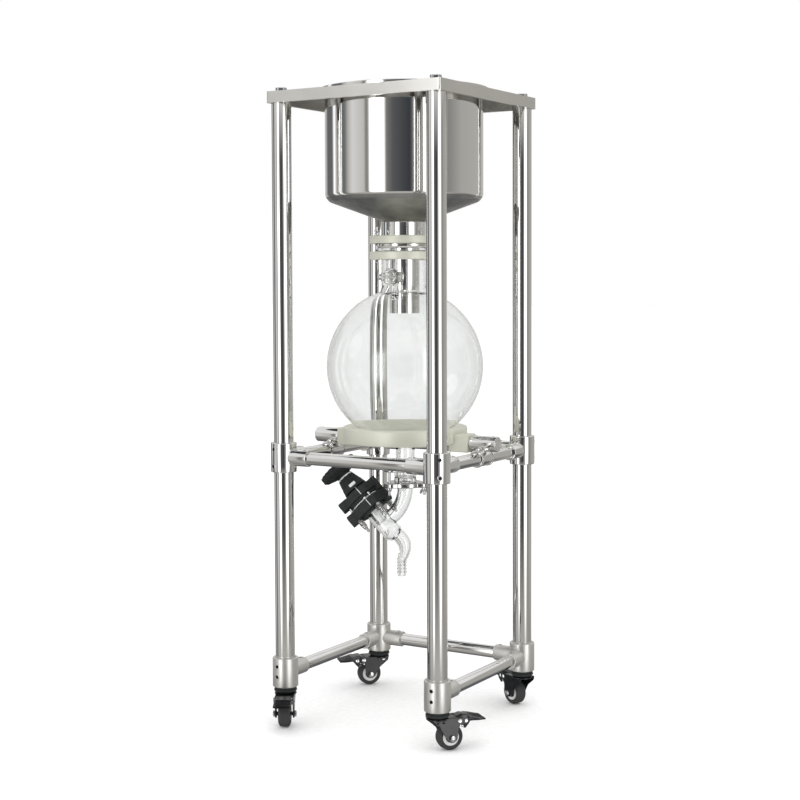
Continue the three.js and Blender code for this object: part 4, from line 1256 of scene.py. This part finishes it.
# ----------------------------------------------------------------------------- drain valve
@dataclass
class DrainValve:
    """Glass-bodied angle valve with a clamped bonnet, a rising spindle and a toothed knob."""

    knob_station: float = 169
    knob_r: float = 41
    lug_azimuth: float = 25
    bolt_r: float = 37
    bolt_angles: tuple[float, ...] = (45, 135, 225, 315)
    glass_wall: float = 3

    def place(self) -> Matrix:
        """Place of the valve's axis: Z up the spindle, from the foot of its stations."""
        point, axis = joint("valve_turn")
        _, lift = joint("valve_lift")
        lean = math.degrees(math.acos(lift.z))
        heading = math.degrees(math.atan2(lift.y, lift.x))
        foot = point - lift * self.knob_station
        return shift(*foot) @ turn(heading) @ turn(lean, "Y")

    def upright(self) -> Matrix:
        """Place of the plane that holds the inlet bend and the outlet: X along the lean."""
        _, lift = joint("valve_lift")
        return turn(math.degrees(math.atan2(lift.y, lift.x)))

    def body(self) -> None:
        """Blown glass body: inlet bend, barrel, elbow and ribbed nozzle."""
        top = span("valve_body")[1].z
        foot = span("valve_body")[0].z
        upright, axis = self.upright(), self.place()
        w = self.glass_wall
        inlet = [(0, 0, top - 2)] + bend((0, 0, 464), (-2, 0, 414), (40, 0, 388))
        elbow = bend((30, 0, 368), (-13, 0, 346), (8, 0, 310), steps=24)
        nozzle = [(8.4, 320)]
        for i in range(5):
            nozzle += [(8.3, 314 - 6.6 * i, 1), (9.6, 312.4 - 6.6 * i, 1), (9.0, 309.4 - 6.6 * i, 1)]
        nozzle += [(8.2, foot + 1, 1), (7.6, foot, 0.8), (5, foot, 0.8), (5, 320)]
        outer = Form().add(turned(softened([(0, -10), (12, -9, 6), (19.5, -1, 9), (19.5, 74, 3), (26, 77.4, 1.6),
                                            (26, 83.8, 1.2), (0, 83.8)], steps=6), 72, closed=False), axis)
        swell = lambda share: 12.2 + 1.8 * math.sin(math.pi * min(1.0, share * 1.25)) - 3.4 * share ** 3
        outer.cut(Form().add(pipe(inlet, 15.5, 48), upright), "UNION")
        outer.cut(Form().add(pipe(elbow, swell, 48), upright), "UNION")
        flange = turned(softened([(14, top - 10, 0.5), (22, top - 10, 1.4), (22, top, 1.2), (14, top, 0.5)],
                                 closed=True), 64)
        outer.cut(Form().add(flange), "UNION")
        solid_nozzle = turned(softened([(0, 322), (8.2, 322)] + nozzle[1:-3] + [(7.6, foot, 0.8), (0, foot)]),
                              48, closed=False)
        outer.cut(Form().add(solid_nozzle, upright @ shift(8)), "UNION")
        inner = Form().add(turned(softened([(0, -6), (9, -5.5, 4), (19.5 - w, 1, 7), (19.5 - w, 90), (0, 90)], steps=5),
                                  64, closed=False), axis)
        throat = [(0, 0, top + 2)] + bend((0, 0, 464), (-2, 0, 414), (38, 0, 389))
        inner.cut(Form().add(pipe(throat, 15.5 - w, 40), upright), "UNION")
        drain = bend((28, 0, 367), (-13, 0, 346), (8, 0, 311), steps=24)
        inner.cut(Form().add(pipe(drain, lambda share: swell(share) - w - 0.6, 40), upright), "UNION")
        inner.cut(Form().add(rod(5.2, foot - 3, 314, 0.1, 40), upright @ shift(8)), "UNION")
        outer.cut(inner).outward()
        clear(piece("valve_glass", outer, GLASS, STAND, "valve_body"))

    def half(self, across: float, z0: float, z1: float, *lugs: tuple[float, float, float, float]) -> Form:
        """One half of the clamp: an eight-sided collar with square lugs.

        Args:
            across: Width of the collar across its flats.
            z0: Lower face.
            z1: Upper face.
            lugs: Azimuth, reach, foot and top of each lug.

        Returns:
            The form.
        """
        form = Form().add(prism(across, 8, z0, z1, 1.6), turn(self.lug_azimuth + 22.5))
        for azimuth, reach, foot, top in lugs:
            form.cut(Form().add(box((28, -17, foot), (reach, 17, top), 2), turn(azimuth)), "UNION")
        form.cut(rod(20.3, z0 - 30, z1 + 30, 0.1, 72))
        for angle in self.bolt_angles:
            form.cut(Form().add(rod(3.4, z0 - 30, z1 + 30, 0.1, 20), turn(angle) @ shift(self.bolt_r)))
        return form

    def clamp(self) -> None:
        """Both black halves of the clamp, the pale gasket, pale patches on their joint, and thin pale strips that are
        painted highlights along their edges and seam.
        """
        axis, front, rear = self.place(), self.lug_azimuth, self.lug_azimuth + 180
        lower = self.half(80, 64, 84, (front, 52, 62, 84), (rear, 45, 57, 83.4))
        lower.add(turned(softened([(30, 58.5, 1), (31, 64.5, 1), (20.4, 64.5), (20.4, 58.5, 1)], closed=True), 72))
        lower.cut(Form().add(box((41, -8, 62), (48, 8, 76), 1.5), turn(rear)))
        piece("clamp_half_lower", lower, BLACK, STAND, "valve_flange_lower", place=axis)
        upper = self.half(77, 95, 112, (front, 48.5, 95, 114), (rear, 44, 84.6, 114))
        upper.add(ring(35, 20.3, 88.4, 95.5, 1, 96))
        upper.add(turned(softened([(35.5, 111, 0.5), (33, 114.6, 2), (27, 117, 1), (20.4, 117), (20.4, 111)],
                                  closed=True), 16), turn(front + 11.25))
        upper.cut(Form().add(box((40, -9, 92), (48, 9, 100), 1.5), turn(rear)))
        piece("clamp_half_upper", upper, BLACK, STAND, "valve_flange_upper", place=axis)
        gasket = turned(softened([(32, 84.3, 0.9), (32, 88, 0.9), (16.4, 88, 0.4), (16.4, 84.3, 0.4)],
                                 closed=True), 96)
        piece("clamp_gasket", gasket, FLUORO, STAND, "valve_gasket", place=axis)
        # Pale patches: the white part seen at the bonnet's base, and the gasket edge seen through the slot.
        patches_and_highlights = box((19, -7.5, 122.8), (25.2, 7.5, 129.6), 2).add(box((34, -2.4, 84.6), (39, 2.4, 88.2), 0.5))
        # Painted highlights: three thin pale strips stand for the glint along the black halves' edges and seam.
        patches_and_highlights.add(box((38.6, -0.6, 66.5), (40.5, 0.6, 82.5), 0.2)).add(box((37, -0.6, 96.5), (39, 0.6, 111), 0.2))
        patches_and_highlights.add(Form().add(box((-0.6, -0.6, 0), (0.6, 0.6, 17), 0.2)), shift(33.5, 0, 113.4) @ turn(-70, "Y"))
        piece("clamp_patches_and_highlights", Form().add(patches_and_highlights, turn(front + 90)), FLUORO, STAND, place=axis)

    def bonnet(self) -> None:
        """Coned bonnet with a grey ring at its neck."""
        axis = self.place()
        cone = turned(softened([(7.4, 88.4), (27.6, 88.4, 0.5), (27.6, 94.6, 0.5), (19.8, 94.9, 0.4), (19.8, 117, 1),
                                (26, 117.4, 1), (24.6, 121, 1.5), (22.5, 131, 0.8), (21.4, 132, 0.6),
                                (16.6, 147.6, 1), (16.3, 148.4, 0.3)], steps=4)
                      + [(14.2, 148.4), (14.2, 151.6), (15.6, 151.8), (14.2, 160.4), (7.4, 160.4)], 96)
        for i in range(10):
            rib = Form().add(box((-0.8, -1.2, 0), (1.1, 1.2, 17), 0.5), turn(-16.2, "Y"))
            cone.add(rib, turn(36 * i) @ shift(21, 0, 133))
        piece("bonnet_cone", cone, BLACK, STAND, "valve_bonnet", place=axis)
        collar = ring(17, 14.3, 148.5, 151.5, 0.6, 72)
        piece("bonnet_ring", collar, HUB, STAND, place=axis)

    def spindle(self) -> None:
        """Pale spindle with its plug, and the toothed knob on its end."""
        axis = self.place()
        stem = turned(softened([(0, 15), (12, 15, 1), (15, 19, 1.5), (15, 29, 1), (11, 31, 1), (7, 34, 1), (7, 158, 0.5),
                                (7, 171, 0.5), (0, 171)]), 48, closed=False)
        piece("spindle_rod", stem, FLUORO, "spindle", "valve_stem", place=axis)
        rim = self.knob_r
        knob = radial(lambda angle: rim - 1.6 + 1.6 * math.tanh(2.4 * math.cos(20 * angle)), 7.2, 165, 177, 0.7, 384)
        knob.add(turned(softened([(rim - 2, 174.6, 0.4), (rim - 5, 177, 1.5), (26, 177, 1), (22, 174.6, 1.5),
                                  (7.2, 174.6), (7.2, 166)], closed=True), 96))
        knob.add(turned(softened([(rim - 1.6, 168, 0.5), (rim - 3.4, 165.4, 1), (24, 159.4, 3), (18.2, 157.6, 0.8),
                                  (16.6, 157.6), (16.6, 161.4), (7.2, 161.4), (7.2, 168)], closed=True), 96))
        for i in range(16):
            rib = Form().add(box((-11, -1.2, -0.7), (11, 1.2, 1.6), 0.5), turn(-19, "Y"))
            knob.add(rib, turn(22.5 * i) @ shift(28.5, 0, 160.6))
        piece("hand_wheel", knob, BLACK, "hand_knob", "valve_knob", place=axis)

    def bolts(self) -> None:
        """Four bolts with springs and wing nuts under the lower half."""
        one = FASTENERS.stud(33, 92)
        one.add(FASTENERS.spring(12.5), shift(z=49.4)).add(FASTENERS.washer(6.2), shift(z=47))
        one.add(FASTENERS.wing_nut(8.5, 10.5), shift(z=47) @ turn(180, "X"))
        form = Form()
        for angle in self.bolt_angles:
            form.add(one, turn(angle) @ shift(self.bolt_r) @ turn(70))
        piece("clamp_bolts", form, STAMPED, STAND, place=self.place())

    def build(self) -> None:
        """Builds the whole valve."""
        self.body()
        self.clamp()
        self.bonnet()
        self.spindle()
        self.bolts()


# --------------------------------------------------------------------------------- studio
@dataclass
class Studio:
    """Camera, floor and soft light."""

    lens: float = 68.6875
    camera_place: tuple[float, float, float] = (1.559866, -2.571657, 0.867194)
    yaw: float = 31.42165
    pitch: float = -2.73804
    roll: float = -0.21789
    rise: float = -0.06
    camera_azimuth: float = -58.6
    bands: tuple[tuple[float, float], ...] = (
        (-180, 0.6), (-156, 0.5), (-146, 0.13), (-127, 0.14), (-121, 1.3), (-113, 0.15), (-95, 0.16),
        (-87, 0.5), (-80, 0.7), (-60, 0.55), (-56, 0.2), (-53, 0.3), (-50, 1.4), (-44, 4), (-33, 4),
        (-29, 1.2), (-26, 0.2), (-16, 0.1), (8, 0.045), (11, 0.1), (14, 0.4), (24, 0.5), (28, 1.3),
        (34, 3.5), (42, 3.5), (50, 1.2), (58, 0.5), (66, 0.25), (90, 0.4), (146, 0.45), (180, 0.6))

    def camera(self) -> None:
        """Camera on the line from which the whole stand is seen."""
        data = bpy.data.cameras.new("view")
        data.lens = self.lens
        data.sensor_width = 36
        data.shift_y = self.rise
        made = bpy.data.objects.new("view", data)
        yaw, pitch, roll = (math.radians(a) for a in (self.yaw, self.pitch, self.roll))
        made.matrix_world = (Matrix.Translation(self.camera_place) @ Matrix.Rotation(yaw, 4, "Z")
                             @ Matrix.Rotation(math.pi / 2 + pitch, 4, "X") @ Matrix.Rotation(roll, 4, "Z"))
        bpy.context.scene.collection.objects.link(made)
        bpy.context.scene.camera = made

    def floor(self) -> None:
        """Wide pale floor."""
        form = Form()
        bmesh.ops.create_grid(form.bm, x_segments=2, y_segments=2, size=40000)
        mesh = form.mesh(Matrix.Scale(MM, 4))
        mesh.materials.append(FLOOR.material())
        made = bpy.data.objects.new("floor", mesh)
        made.visible_glossy = False
        made.visible_transmission = False
        bpy.context.scene.collection.objects.link(made)
        made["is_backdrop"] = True

    def lights(self) -> None:
        """One broad lamp overhead and one at the left of the camera."""
        for name, place, size, power in (("overhead", (0.4, -0.6, 3.2), 2.2, 14), ("side", (-2.6, -1.8, 2.0), 1.6, 8)):
            data = bpy.data.lights.new(name, "AREA")
            data.shape = "DISK"
            data.size = size
            data.energy = power
            made = bpy.data.objects.new(name, data)
            made.location = place
            aim = Vector((0, 0, 0.7)) - Vector(place)
            made.rotation_euler = aim.to_track_quat("-Z", "Y").to_euler()
            made.visible_glossy = False
            bpy.context.scene.collection.objects.link(made)

    def sky(self) -> None:
        """White surround behind the object, with dark and light bands all round it."""
        world = bpy.data.worlds.new("surround")
        bpy.context.scene.world = world
        graph = Graph(world)
        direction = graph.node("ShaderNodeTexCoord").outputs["Generated"]
        parts = graph.node("ShaderNodeSeparateXYZ", {}, {0: direction}).outputs
        x, y, z = (Field(graph, parts[i]) for i in range(3))
        azimuth = graph.field("ShaderNodeMath", {"operation": "ARCTAN2"}, {0: y, 1: x})
        offset = azimuth - math.radians(self.camera_azimuth) + math.pi + TURN
        share = graph.field("ShaderNodeMath", {"operation": "FRACT"}, {0: offset * (1 / TURN)})
        stops = [((angle + 180) / 360, level) for angle, level in self.bands]
        band = graph.ramp(share, *stops)
        height = z * 0.5 + 0.5
        away = graph.ramp(height, (0, 1), (0.27, 1), (0.36, 0), (0.64, 0), (0.7, 1), (1, 1))
        facing = (x * math.cos(math.radians(self.camera_azimuth))
                  + y * math.sin(math.radians(self.camera_azimuth))) * 0.5 + 0.5
        below = graph.ramp(facing, (0, 0.1), (0.3, 0.14), (0.5, 0.28), (0.75, 0.46), (1, 0.46))
        above = graph.ramp(height, (0.5, 0.85), (0.9, 0.85), (0.915, 0.05), (1, 0.05))
        glossy = graph.blend(away, band, graph.blend(z > 0, below, above))
        ahead = graph.ramp(facing, (0, 1), (0.2, 1), (0.27, 0), (1, 0))
        pale = graph.ramp(facing, (0, 0.98), (0.01, 0.93), (0.06, 0.84), (0.14, 0.6), (0.25, 0.3), (1, 0.3))
        through = graph.blend(ahead, glossy, pale)
        rays = graph.node("ShaderNodeLightPath")
        seen = graph.blend(Field(graph, rays.outputs["Is Transmission Ray"]), glossy, through)
        lit = graph.blend(Field(graph, rays.outputs["Is Diffuse Ray"]), seen, (1.25, 1.25, 1.25, 1))
        final = graph.blend(Field(graph, rays.outputs["Is Camera Ray"]), lit, (1, 1, 1, 1))
        graph.feed(graph.nodes["Background"].inputs["Color"], final)

    def build(self) -> None:
        """Builds the studio."""
        self.camera()
        self.floor()
        self.lights()
        self.sky()
        bpy.context.scene.view_settings.view_transform = "Standard"


FLOOR = Pale("pale_floor", "", (1.0, 1.0, 1.0), 0.7)


def corners(box_: Iterable[Corner]) -> list[list[float]]:
    """A pair of corners as plain lists."""
    return [[float(v) for v in corner] for corner in box_]


def main() -> None:
    """Builds the filter and its studio, and works out the size of both models."""
    logging.basicConfig(level=logging.INFO, format="%(message)s")
    Stand().build()
    for corner in CORNERS:
        Caster(corner).build()
    for part in (Funnel(), NeckClamp(), Flask(), Cradle(), OutletClamp(), DrainValve(), Studio()):
        log.info("building %s", type(part).__name__)
        part.build()
    {"cad": corners(CAD_BOX), "visual": corners(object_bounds())}


if __name__ == "__main__":
    main()
